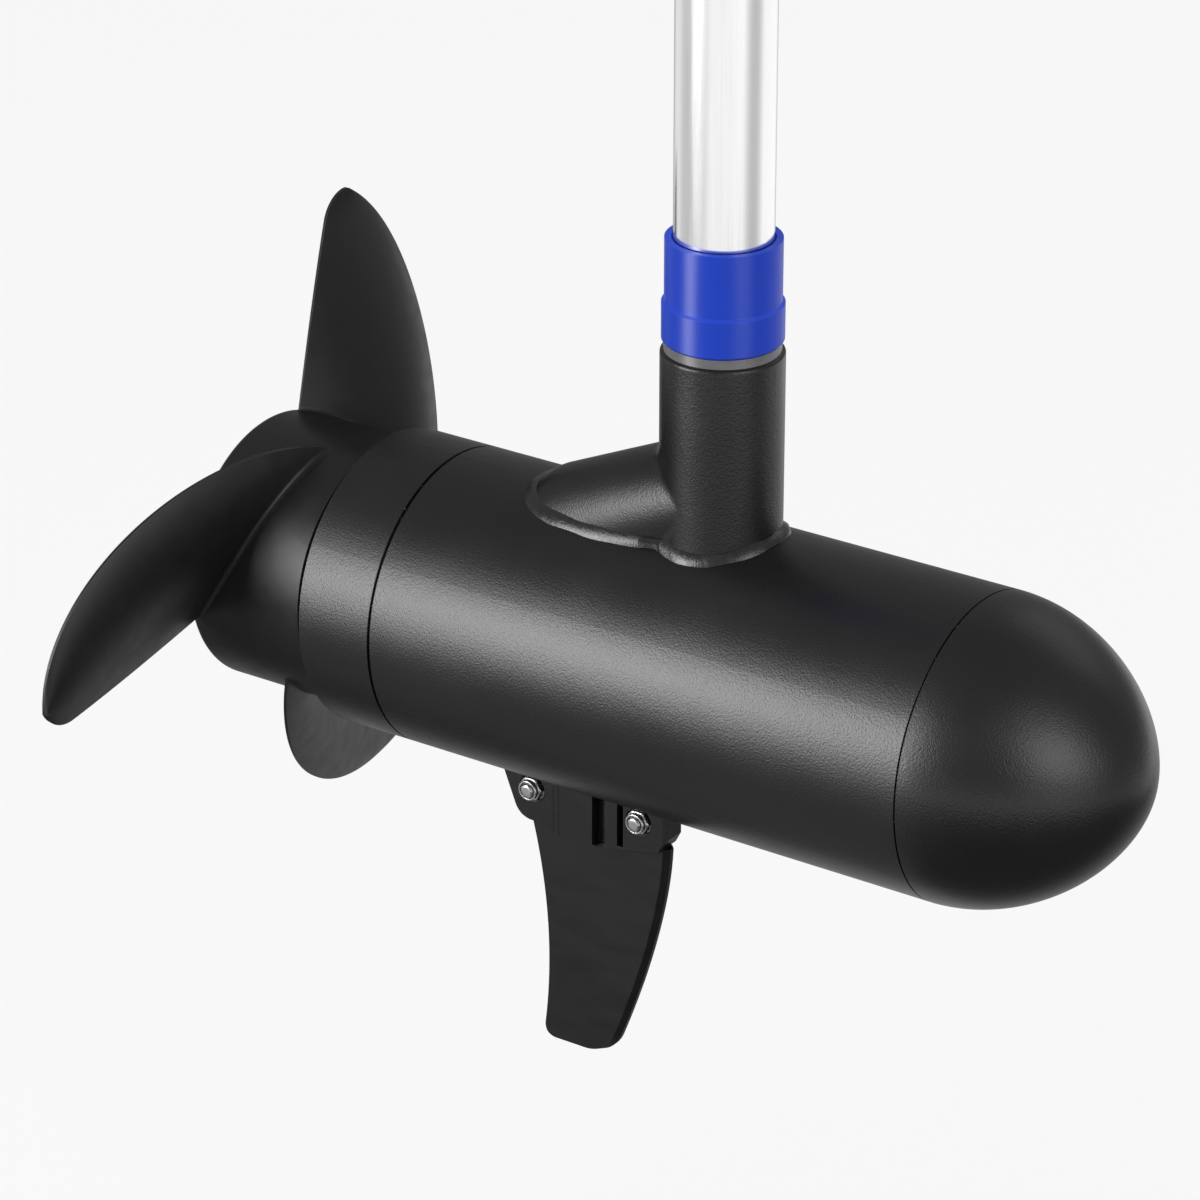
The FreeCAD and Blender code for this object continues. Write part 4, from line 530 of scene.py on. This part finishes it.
def enamelled_copper():
    """Wound wire: ridges one wire wide, under clear enamel, painted darker between the wires as shade."""
    material, tree, shader = start_material("enamelled_copper", (0.50, 0.15, 0.045), 0.25, 0.85)
    wires = calculate(tree, "ABSOLUTE", rings(tree, motor_radius(tree), 1.8))
    tint = noise(tree, 5.0, 3.0, (0.1, 1.0, 1.0))
    copper = mix_colour(tree, tint, (0.42, 0.11, 0.03), (0.60, 0.20, 0.07))
    # painted shade in the crevices between the wires
    colour_by(tree, shader, remap(tree, wires, 0.9, 0.0, 0.0, 0.35), copper, (0.07, 0.02, 0.01))
    roughness_by(tree, shader, tint, 0.20, 0.32)
    bump(tree, shader, (wires, 0.25))
    return material


def plain_moulding(name, dark, light, roughness, grain):
    """A moulded or rubber surface: two close tones, a fine grain and a painted highlight along its edges.
    """
    material, tree, shader = start_material(name, light, roughness)
    clouds = noise(tree, 5.0, 3.0)
    base = mix_colour(tree, clouds, dark, light)
    paler = tuple(min(1.0, 1.6 * part + 0.01) for part in light)
    # painted highlight: the edges are painted paler
    colour_by(tree, shader, calculate(tree, "MULTIPLY", edges(tree, 0.3), 0.5), base, paler)
    roughness_by(tree, shader, noise(tree, 1.5), 0.85 * roughness, 1.15 * roughness)
    bump(tree, shader, (noise(tree, 0.35, 3.0), grain), edge_radius=0.2)
    return material


def bobbin_plastic():
    return plain_moulding("bobbin_plastic", (0.60, 0.57, 0.48), (0.70, 0.67, 0.58), 0.48, 0.008)


def chip_plastic():
    return plain_moulding("chip_plastic", (0.012, 0.012, 0.013), (0.022, 0.022, 0.024), 0.45, 0.012)


def cable_jacket():
    return plain_moulding("cable_jacket", (0.010, 0.010, 0.011), (0.018, 0.018, 0.019), 0.55, 0.015)


def seal_rubber():
    return plain_moulding("seal_rubber", (0.008, 0.008, 0.008), (0.014, 0.014, 0.014), 0.62, 0.015)


def capacitor_can():
    return plain_moulding("capacitor_can", (0.012, 0.020, 0.060), (0.020, 0.032, 0.085), 0.30, 0.006)


def circuit_board():
    """Green solder mask over copper tracks, with small tinned dots."""
    material, tree, shader = start_material("circuit_board", (0.008, 0.075, 0.030), 0.3)
    tracks = add(tree, "ShaderNodeTexVoronoi", {"feature": "DISTANCE_TO_EDGE", "distance": "CHEBYCHEV"},
                 Vector=surface_point(tree, (0.0, 1.0, 1.0)), Scale=1.0 / (3.2 * MM), Randomness=0.8)
    track = remap(tree, tracks.outputs["Distance"], 1.0, 0.0, 0.06, 0.10)
    dots = add(tree, "ShaderNodeTexVoronoi", Vector=surface_point(tree, (0.0, 1.0, 1.0)),
               Scale=1.0 / (5.5 * MM), Randomness=0.7)
    dot = remap(tree, dots.outputs["Distance"], 1.0, 0.0, 0.10, 0.13)
    mask = mix_colour(tree, track, (0.007, 0.070, 0.028), (0.014, 0.125, 0.050))
    colour_by(tree, shader, dot, mask, (0.60, 0.58, 0.52))
    roughness_by(tree, shader, noise(tree, 4.0), 0.24, 0.36)
    bump(tree, shader, (calculate(tree, "MAXIMUM", track, dot), 0.03))
    return material


def make_materials():
    makers = (
        powder_coat, weld_bead, propeller_plastic, skeg_plastic, drawn_aluminium, blue_nylon, grey_acetal,
        stainless, nylon_insert, shaft_steel, bearing_steel, bearing_cage, machined_aluminium,
        brass_spacer, magnet_nickel, laminations, enamelled_copper, bobbin_plastic, chip_plastic,
        cable_jacket, seal_rubber, capacitor_can, circuit_board,
    )
    return {material.name.split(".")[0]: material for material in (maker() for maker in makers)}


def dress_nodes(materials):
    """Gives each node of the frame the material that its slot in the record names."""
    packed = set()
    for node in NODES.values():
        for slot in node.material_slots:
            packed.add(slot.material)
            slot.material = materials[slot.material.name]
    for material in packed:
        bpy.data.materials.remove(material)
    for name, material in materials.items():
        material.name = name


# making pieces

def add_piece(name, points, faces, material, body, replaced=()):
    """A mesh object in the frame, in metres, that rides on a body and may replace nodes."""
    mesh = bpy.data.meshes.new(name)
    mesh.from_pydata(points, [], faces)
    shape = bmesh.new()
    shape.from_mesh(mesh)
    bmesh.ops.recalc_face_normals(shape, faces=shape.faces)
    shape.to_mesh(mesh)
    shape.free()
    mesh.shade_smooth()
    mesh.set_sharp_from_angle(angle=math.radians(SHARP_ANGLE))
    mesh.materials.append(material)
    piece = bpy.data.objects.new(name, mesh)
    bpy.context.scene.collection.objects.link(piece)
    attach(piece, body)
    if replaced:
        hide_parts(*replaced)
    return piece


def grid_faces(rows, columns, closed_rows=False):
    """Quads over rows of points; each row closes on itself, and the last may join the first."""
    faces = []
    for row in range(rows if closed_rows else rows - 1):
        below = row * columns
        above = (row + 1) % rows * columns
        for column in range(columns):
            beside = (column + 1) % columns
            faces.append((below + column, below + beside, above + beside, above + column))
    return faces


# weld bead

def weld_toes():
    """For stations round the foot of the strut, the bead's toe on the housing and on the strut."""
    mesh = NODES["strut_weld"].data
    points = np.array([vertex.co for vertex in mesh.vertices]) / MM
    pairs = np.array([edge.vertices for edge in mesh.edges])
    centre = (points[:, 0].min() + points[:, 0].max()) / 2
    start = points[pairs[:, 0]]
    end = points[pairs[:, 1]]
    toes = []
    for station in range(BEAD_STATIONS):
        angle = 2 * math.pi * station / BEAD_STATIONS
        out = np.array([math.cos(angle), math.sin(angle)])
        across = np.array([-out[1], out[0]])
        first = (start[:, :2] - (centre, 0)) @ across
        second = (end[:, :2] - (centre, 0)) @ across
        cut = np.flatnonzero((first > 0) != (second > 0))
        share = (first[cut] / (first[cut] - second[cut]))[:, None]
        crossing = start[cut] + (end[cut] - start[cut]) * share
        reach = (crossing[:, :2] - (centre, 0)) @ out
        ahead = reach > 0
        crossing = crossing[ahead]
        reach = reach[ahead]
        low = crossing[reach.argmax()]
        high = crossing[crossing[:, 2].argmax()]
        side = (high - low) / np.linalg.norm(high - low)
        from_low = crossing - low
        away = from_low - np.outer(from_low @ side, side)
        root = crossing[np.linalg.norm(away, axis=1).argmax()]
        toes.append((root + (low - root) * BEAD_SIZE, root + (high - root) * BEAD_SIZE))
    return toes


def bead_section(low_toe, high_toe, heading, travelled):
    """Points round the bead at one station: a crowned arc with curved ripples, and a point inside."""
    chord = high_toe - low_toe
    outward = np.cross(chord, heading)
    outward /= np.linalg.norm(outward)
    long_wave, short_wave = TOE_WAVES
    wander = TOE_WANDER * (math.sin(travelled / long_wave) + math.sin(travelled / short_wave + 1.3)) / 2
    crown = BEAD_CROWN + CROWN_SWELL * math.sin(travelled / CROWN_WAVE + 0.4)
    section = []
    for step in range(BEAD_ACROSS + 1):
        share = step / BEAD_ACROSS
        arc = 4 * share * (1 - share)
        phase = travelled / RIPPLE_PITCH - RIPPLE_BOW * arc
        ripple = RIPPLE_HEIGHT * (phase % 1.0) ** RIPPLE_STEEPNESS * math.sqrt(arc)
        lift = -TOE_SINK + (TOE_SINK + crown) * math.sqrt(arc) + ripple
        slide = wander * (2 * share - 1)
        section.append(low_toe + chord * share + chord / np.linalg.norm(chord) * slide + outward * lift)
    root = low_toe + chord / 2 - outward
    return section + [root]


def strut_weld(materials):
    toes = weld_toes()
    middles = np.array([(low + high) / 2 for low, high in toes])
    points = []
    travelled = 0.0
    for station, (low, high) in enumerate(toes):
        ahead = middles[(station + 1) % BEAD_STATIONS] - middles[station - 1]
        travelled += np.linalg.norm(middles[station] - middles[station - 1])
        heading = ahead / np.linalg.norm(ahead)
        points.extend(bead_section(low, high, heading, travelled))
    places = [tuple(point * MM) for point in points]
    faces = grid_faces(BEAD_STATIONS, BEAD_ACROSS + 2, closed_rows=True)
    add_piece("rippled_weld", places, faces, materials["weld_bead"], "lower_unit",
              ("strut_weld",))


# hexagon nuts, bolts and threads

def hexagon(angle, across_flats):
    """Distance from the middle of a hexagon to its side, with a corner at angle 0."""
    turn = (angle + math.pi / 6) % (math.pi / 3) - math.pi / 6
    return across_flats / 2 / math.cos(math.pi / 6 - abs(turn))


def turned_points(profile, across_flats=None, thread=None):
    """Rings of points for a profile of (radius, height), trimmed to a hexagon or cut as a thread."""
    points = []
    for radius, height in profile:
        for step in range(RING_STEPS):
            angle = 2 * math.pi * step / RING_STEPS
            here = radius
            if across_flats:
                here = min(here, hexagon(angle, across_flats))
            if thread:
                turns = height / THREAD_PITCH - step / RING_STEPS
                here -= thread * abs(2 * (turns % 1.0) - 1)
            points.append((here * math.cos(angle), here * math.sin(angle), height))
    return points


def placed(points, place, axis):
    """Turns points from +Z to an axis and moves them to a place, both Vectors, and gives metres."""
    turn = Vector((0, 0, 1)).rotation_difference(axis).to_matrix()
    return [tuple((turn @ Vector(point) + place) * MM) for point in points]


def add_turned(name, groups, material, body, replaced=()):
    """One piece from several closed sets of rings, each (points, rows)."""
    places = []
    faces = []
    for points, rows in groups:
        first = len(places)
        places.extend(points)
        faces.extend(tuple(first + corner for corner in face) for face in grid_faces(rows, RING_STEPS))
    return add_piece(name, places, faces, material, body, replaced)


def lock_nut_profile(radius, corner, height, collar):
    """Section of a lock nut from its bearing face up to the rolled collar's lip.

    The corner is the distance from the middle to a corner of its hexagon.
    """
    chamfer = 0.13 * corner
    shoulder = height - collar
    return [
        (radius, 0.0), (0.82 * corner, 0.0), (corner - chamfer, 0.06), (corner - 0.45 * chamfer, 0.35),
        (corner, 0.85), (corner, shoulder - 0.9), (corner - 0.4 * chamfer, shoulder - 0.4),
        (corner - chamfer, shoulder - 0.08), (0.80 * corner, shoulder), (0.80 * corner, height - 0.6),
        (0.785 * corner, height - 0.25), (0.74 * corner, height - 0.04), (0.69 * corner, height),
        (0.645 * corner, height - 0.08), (0.63 * corner, height - 0.35), (0.63 * corner, height - 0.7),
    ]


def insert_profile(radius, corner, height):
    """The locking ring under the nut's lip."""
    return [
        (0.66 * corner, height - 1.2), (0.66 * corner, height - 0.62), (0.60 * corner, height - 0.5),
        (radius + 0.12, height - 0.42), (radius + 0.02, height - 0.6), (radius, height - 1.2),
    ]


def threaded_end(radius, start, end):
    """Rings of a thread that ends in a chamfer and a slightly domed face."""
    profile = []
    height = start
    while height < end - THREAD_CHAMFER:
        profile.append((radius, height))
        height += THREAD_PITCH / THREAD_STEPS
    return profile, [
        (radius - 0.05, end - THREAD_CHAMFER), (radius - THREAD_DEPTH, end - 0.05), (0.6 * radius, end),
        (0.3 * radius, end), (0.0, end),
    ]


def hex_head_profile(corner, height):
    """Section of a bolt head: washer face, hexagon and a chamfered crown."""
    return [
        (0.0, 0.0), (0.80 * corner, 0.0), (0.82 * corner, 0.25), (corner, 0.26), (corner, height - 0.75),
        (0.95 * corner, height - 0.35), (0.87 * corner, height - 0.03),
        (0.84 * corner, height), (0.4 * corner, height), (0.0, height),
    ]


def skeg_fasteners(materials):
    """Lock nuts, bolt ends and heads, each where its node stands."""
    low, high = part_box("skeg_nuts")
    bolt_low, bolt_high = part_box("skeg_bolts")
    far_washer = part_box("skeg_washers")[1].y / MM
    across_flats = (high.z - low.z) / MM
    corner = across_flats / math.sqrt(3)
    nut_height = (high.y - low.y) / MM
    centre_height = (high.z + low.z) / 2 / MM
    nuts = []
    inserts = []
    bolts = []
    front = Vector((0, -1, 0))
    for place in (low.x / MM + corner, high.x / MM - corner):
        seat = Vector((place, high.y / MM, centre_height))
        profile = lock_nut_profile(BOLT_RADIUS, corner, nut_height, BOLT_NUT_COLLAR)
        nuts.append((placed(turned_points(profile, across_flats), seat, front), len(profile)))
        ring = insert_profile(BOLT_RADIUS, corner, nut_height)
        inserts.append((placed(turned_points(ring), seat, front), len(ring)))
        reach = far_washer - bolt_low.y / MM
        head_seat = Vector((place, far_washer, centre_height))
        thread, end = threaded_end(BOLT_RADIUS, 0.0, reach)
        rod = turned_points(thread, thread=THREAD_DEPTH) + turned_points(end)
        bolts.append((placed(rod, head_seat, front), len(thread) + len(end)))
        head = hex_head_profile(corner, bolt_high.y / MM - far_washer)
        bolts.append((placed(turned_points(head, across_flats), head_seat, -front), len(head)))
    steel = materials["stainless"]
    add_turned("skeg_lock_nuts", nuts, steel, "lower_unit", ("skeg_nuts",))
    add_turned("skeg_nut_inserts", inserts, materials["nylon_insert"], "lower_unit")
    add_turned("skeg_hex_bolts", bolts, steel, "lower_unit", ("skeg_bolts",))


def propeller_lock_nut(materials):
    """The nut at the end of the motor's shaft."""
    low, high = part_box("propeller_nut")
    across_flats = (high.y - low.y) / MM
    corner = across_flats / math.sqrt(3)
    height = (high.x - low.x) / MM
    seat = Vector((high.x / MM, 0.0, AXIS_HEIGHT))
    profile = lock_nut_profile(SHAFT_THREAD_RADIUS, corner, height, SHAFT_NUT_COLLAR)
    points = placed(turned_points(profile, across_flats), seat, Vector((-1, 0, 0)))
    add_turned("propeller_lock_nut", [(points, len(profile))], materials["stainless"], "rotor",
               ("propeller_nut",))


# propeller

def hub_profile(rear, front):
    """Closed section of the hollow hub, as (radius, station) from the nut's pocket round to its rim."""
    floor = rear + NUT_POCKET_DEPTH
    profile = [
        (NUT_POCKET, rear), (NUT_POCKET, floor), (HUB_BORE, floor), (HUB_BORE, HUB_BOSS_FRONT),
        (HUB_BOSS, HUB_BOSS_FRONT), (HUB_BOSS, floor + HUB_WALL),
        (NUT_POCKET + HUB_WALL, floor + HUB_WALL), (NUT_POCKET + HUB_WALL, rear + HUB_WALL),
        (HUB_RADIUS - HUB_WALL, rear + HUB_WALL), (HUB_RADIUS - HUB_WALL, front),
        (HUB_NECK, front), (HUB_NECK, front - HUB_NECK_LENGTH),
        (HUB_RADIUS - HUB_CHAMFER, front - HUB_NECK_LENGTH),
        (HUB_RADIUS, front - HUB_NECK_LENGTH - HUB_CHAMFER),
    ]
    for step in range(ROUND_STEPS + 1):
        turn = math.pi / 2 * step / ROUND_STEPS
        profile.append((HUB_RADIUS - HUB_ROUND * (1 - math.cos(turn)),
                        rear + HUB_ROUND * (1 - math.sin(turn))))
    return profile


def rib_points(angle, rear):
    """Corners of a rib between the boss and the wall, inside the hub."""
    points = []
    for station in (rear + HUB_WALL / 2, HUB_BOSS_FRONT):
        for radius in (HUB_BOSS - HUB_RIB_SINK, HUB_RADIUS - HUB_WALL / 2):
            for side in (-HUB_RIB_WIDTH / 2, HUB_RIB_WIDTH / 2):
                points.append((station, radius * math.cos(angle) - side * math.sin(angle),
                               radius * math.sin(angle) + side * math.cos(angle)))
    return points


def blade_ring(share, turn):
    """Points round a blade at a share of its reach: the front side out, and the rear side back."""
    radius = HUB_RADIUS + (BLADE_REACH - HUB_RADIUS) * share
    out = max(share, 0.0)
    inward = 1 - out
    fullness = math.sqrt(1 - out ** BLADE_FULLNESS)
    chord = BLADE_CHORD * fullness
    trailing = BLADE_TIP + (TRAILING_ROOT - BLADE_TIP) * inward
    leading = trailing + max(BLADE_TIP + BLADE_RAKE * inward ** BLADE_RAKE_POWER - trailing, 0.02 * chord)
    past = max(radius - BLADE_REACH + TIP_ROUND, 0.0)
    kept = 1 - (TIP_ROUND - math.sqrt(TIP_ROUND ** 2 - past ** 2)) / chord
    edge = EDGE_THICKNESS / 2
    full = (TIP_THICKNESS + (ROOT_THICKNESS - TIP_THICKNESS) * inward) / 2
    above = min(max(radius - HUB_RADIUS, 0.0), ROOT_FILLET)
    fillet = ROOT_FILLET - math.sqrt(ROOT_FILLET ** 2 - (ROOT_FILLET - above) ** 2)
    sides = ([], [])
    for column in range(BLADE_COLUMNS + 1):
        back = (1 - math.cos(math.pi * column / BLADE_COLUMNS)) / 2
        bulge = 4 * back * (1 - back)
        station = leading + (trailing - leading) * back * kept + BLADE_CAMBER * fullness * bulge
        slope = (trailing - leading + BLADE_CAMBER * fullness * 4 * (1 - 2 * back)) / chord
        half = edge + (full - edge) * bulge + fillet * bulge ** FILLET_SPREAD
        lean = math.hypot(1, slope)
        for sign, side in zip((1, -1), sides):
            arc = chord * (back * kept - 1) - sign * half * slope / lean
            angle = math.radians(BLADE_ANGLE + turn + BLADE_SKEW * out ** 2) + arc / radius
            side.append((station + sign * half / lean, radius * math.cos(angle), radius * math.sin(angle)))
    return sides[0] + sides[1][::-1]


def blade_shares():
    """Shares of the reach: inside the hub's wall, up the root fillet, and out to the tip."""
    reach = BLADE_REACH - HUB_RADIUS
    fillet = [ROOT_FILLET * (1 - math.cos(math.pi / 2 * step / ROUND_STEPS)) / reach
              for step in range(ROUND_STEPS)]
    first = math.degrees(math.asin(ROOT_FILLET / reach))
    turns = [first + (LAST_ROW - first) * row / BLADE_ROWS for row in range(BLADE_ROWS + 1)]
    return [-HUB_WALL / 2 / reach] + fillet + [math.sin(math.radians(turn)) for turn in turns]


def take_in(points, faces, more_points, more_faces):
    """Adds a closed set, given in millimetres from the motor's axis, to the propeller's own."""
    first = len(points)
    points.extend((x * MM, y * MM, (z + AXIS_HEIGHT) * MM) for x, y, z in more_points)
    faces.extend(tuple(first + corner for corner in face) for face in more_faces)


def hub_points(profile):
    """Rings of points round the motor's axis, one for each corner of the profile."""
    points = []
    for radius, station in profile:
        for step in range(RING_STEPS):
            angle = 2 * math.pi * step / RING_STEPS
            points.append((station, radius * math.cos(angle), radius * math.sin(angle)))
    return points


def blade_skin(rows):
    """Faces over the rings of a blade, with one more face to close each end."""
    columns = 2 * (BLADE_COLUMNS + 1)
    last = (rows - 1) * columns
    return grid_faces(rows, columns) + [tuple(range(columns)), tuple(range(last, last + columns))]


def propeller(materials):
    """The hub with its ribs and blades, in place of the frame's plainer moulding."""
    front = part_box("propeller")[1].x / MM
    profile = hub_profile(HUB_REAR, front)
    points = []
    faces = []
    take_in(points, faces, hub_points(profile), grid_faces(len(profile), RING_STEPS, closed_rows=True))
    for rib in range(HUB_RIBS):
        take_in(points, faces, rib_points(2 * math.pi * rib / HUB_RIBS, HUB_REAR), RIB_FACES)
    shares = blade_shares()
    skin = blade_skin(len(shares))
    for blade in range(BLADES):
        turn = 360.0 * blade / BLADES
        rings_out = [point for share in shares for point in blade_ring(share, turn)]
        take_in(points, faces, rings_out, skin)
    add_piece("propeller_moulding", points, faces, materials["propeller_plastic"], "rotor",
              ("propeller",))


# studio

def make_camera():
    data = bpy.data.cameras.new("camera")
    data.lens = CAMERA_LENS
    data.sensor_width = SENSOR_WIDTH
    camera = bpy.data.objects.new("camera", data)
    bpy.context.scene.collection.objects.link(camera)
    camera.location = CAMERA_PLACE
    camera.rotation_euler = (math.radians(90 - CAMERA_ELEVATION), 0, math.radians(CAMERA_AZIMUTH))
    bpy.context.scene.camera = camera


def floor_height():
    return CAD_BOX[0].z - FLOOR_GAP


def seen(tree):
    """1 for rays from the camera and in reflections, and 0 for light on its way to the object."""
    path = tree.nodes.new("ShaderNodeLightPath")
    rays = calculate(tree, "MAXIMUM", path.outputs["Is Camera Ray"], path.outputs["Is Glossy Ray"])
    return calculate(tree, "MAXIMUM", rays, path.outputs["Is Transmission Ray"])


def staged_sheet(name, corners, faces, material):
    """Flat faces of the studio, given by their corners in metres."""
    mesh = bpy.data.meshes.new(name)
    mesh.from_pydata(corners, [], faces)
    mesh.materials.append(material)
    sheet = bpy.data.objects.new(name, mesh)
    bpy.context.scene.collection.objects.link(sheet)
    return sheet


def make_floor():
    """A wide pale floor that keeps the object's shadow."""
    material = bpy.data.materials.new("floor_paper")
    material.use_nodes = True
    tree = material.node_tree
    tree.nodes.clear()
    output = tree.nodes.new("ShaderNodeOutputMaterial")
    paper = add(tree, "ShaderNodeBsdfDiffuse", Color=(FLOOR_PAPER, FLOOR_PAPER, FLOOR_PAPER, 1.0))
    strength = calculate(tree, "MULTIPLY", seen(tree), FLOOR_GLOW)
    glow = add(tree, "ShaderNodeEmission", Strength=strength)
    both = add(tree, "ShaderNodeAddShader")
    tree.links.new(paper.outputs[0], both.inputs[0])
    tree.links.new(glow.outputs[0], both.inputs[1])
    tree.links.new(both.outputs[0], output.inputs["Surface"])
    half = FLOOR_SIZE / 2
    height = floor_height()
    corners = [(-half, -half, height), (half, -half, height), (half, half, height), (-half, half, height)]
    staged_sheet("floor", corners, [(0, 1, 2, 3)], material)


def sector(tree, azimuth, half_angle):
    """1 in the middle of a sector of the studio, fading to 0 at its sides."""
    place = add(tree, "ShaderNodeSeparateXYZ", Vector=surface_point(tree))
    back = calculate(tree, "MULTIPLY", place.outputs["Y"], -1.0)
    here = calculate(tree, "ARCTAN2", place.outputs["X"], back)
    near = calculate(tree, "COSINE", calculate(tree, "SUBTRACT", here, math.radians(azimuth)))
    return remap(tree, near, 0.0, 1.0, math.cos(math.radians(half_angle)),
                 math.cos(math.radians(0.25 * half_angle)))


def add_card(name, tone, corners, faces, changes=()):
    """A card that stands out of the picture, to be seen only in the object's gloss."""
    material = bpy.data.materials.new(name)
    material.use_nodes = True
    tree = material.node_tree
    tree.nodes.clear()
    output = tree.nodes.new("ShaderNodeOutputMaterial")
    for azimuth, half_angle, change in changes:
        more = calculate(tree, "MULTIPLY", sector(tree, azimuth, half_angle), change)
        tone = calculate(tree, "ADD", tone, more)
    glow = add(tree, "ShaderNodeEmission", Strength=tone)
    tree.links.new(glow.outputs[0], output.inputs["Surface"])
    card = staged_sheet(name, corners, faces, material)
    card.visible_camera = False
    card.visible_diffuse = False
    card.visible_shadow = False


def ring_points(radius, height):
    """Points round the studio, in metres."""
    turns = [2 * math.pi * step / ROOM_STEPS for step in range(ROOM_STEPS)]
    return [(radius * math.sin(turn), -radius * math.cos(turn), height) for turn in turns]


def make_cards():
    """A dim studio round the object, with a ring of pale floor left open to the metal parts."""
    floor = floor_height()
    strip = grid_faces(2, ROOM_STEPS)
    disc = [tuple(range(ROOM_STEPS))]
    add_card("walls", DIM, ring_points(ROOM_RADIUS, floor) + ring_points(ROOM_RADIUS, ROOM_TOP), strip)
    add_card("ceiling", DIM, ring_points(ROOM_RADIUS, ROOM_TOP), disc)
    low = floor + CARD_LIFT
    add_card("rug", RUG_TONE, ring_points(RUG_RADIUS, low), disc, RUG_CHANGES)
    ring = ring_points(RUG_RADIUS, low) + ring_points(ROOM_RADIUS, low)
    add_card("floor_ring", RING_TONE, ring, strip, RING_CHANGES)


def make_world():
    """Even light from all sides, with a tone of its own where the world is seen."""
    world = bpy.data.worlds.new("studio")
    world.use_nodes = True
    tree = world.node_tree
    background = tree.nodes["Background"]
    background.inputs["Color"].default_value = (1.0, 1.0, 1.0, 1.0)
    tree.links.new(remap(tree, seen(tree), AMBIENT, PALE), background.inputs["Strength"])
    bpy.context.scene.world = world


def add_soft_box(name, azimuth, elevation, distance, width, height, radiance, spread, aim=AIM):
    """A rectangular lamp of even radiance, turned to the object.

    The azimuth counts from straight in front towards the nose, in degrees. The spread is the share
    of the light that falls on matte surfaces too; the rest is seen only in gloss.
    """
    turn = math.radians(azimuth)
    rise = math.radians(elevation)
    towards = Vector((math.sin(turn) * math.cos(rise), -math.cos(turn) * math.cos(rise), math.sin(rise)))
    for share, matte in ((spread, True), (1.0 - spread, False)):
        data = bpy.data.lights.new(name, "AREA")
        data.shape = "RECTANGLE"
        data.size = width
        data.size_y = height
        data.energy = share * radiance * math.pi * width * height
        lamp = bpy.data.objects.new(name, data)
        bpy.context.scene.collection.objects.link(lamp)
        lamp.location = Vector(aim) + towards * distance
        lamp.rotation_mode = "QUATERNION"
        lamp.rotation_quaternion = towards.to_track_quat("Z", "Y")
        lamp.visible_camera = False
        lamp.visible_diffuse = matte


def make_lamps():
    """A main lamp in front, one beyond the nose and a faint one behind."""
    add_soft_box("key", azimuth=-31.7, elevation=12.6, distance=1.7, width=0.60, height=1.0,
                 radiance=25.0, spread=0.2)
    add_soft_box("side", azimuth=68.0, elevation=22.0, distance=1.6, width=0.90, height=0.95,
                 radiance=6.5, spread=0.25, aim=SIDE_AIM)
    add_soft_box("back", azimuth=170.0, elevation=35.0, distance=2.2, width=1.4, height=1.0,
                 radiance=0.7, spread=0.5)


make_camera()
finishes = make_materials()
dress_nodes(finishes)
strut_weld(finishes)
skeg_fasteners(finishes)
propeller_lock_nut(finishes)
propeller(finishes)
make_floor()
make_cards()
make_world()
make_lamps()
bpy.context.scene.view_settings.view_transform = "Standard"
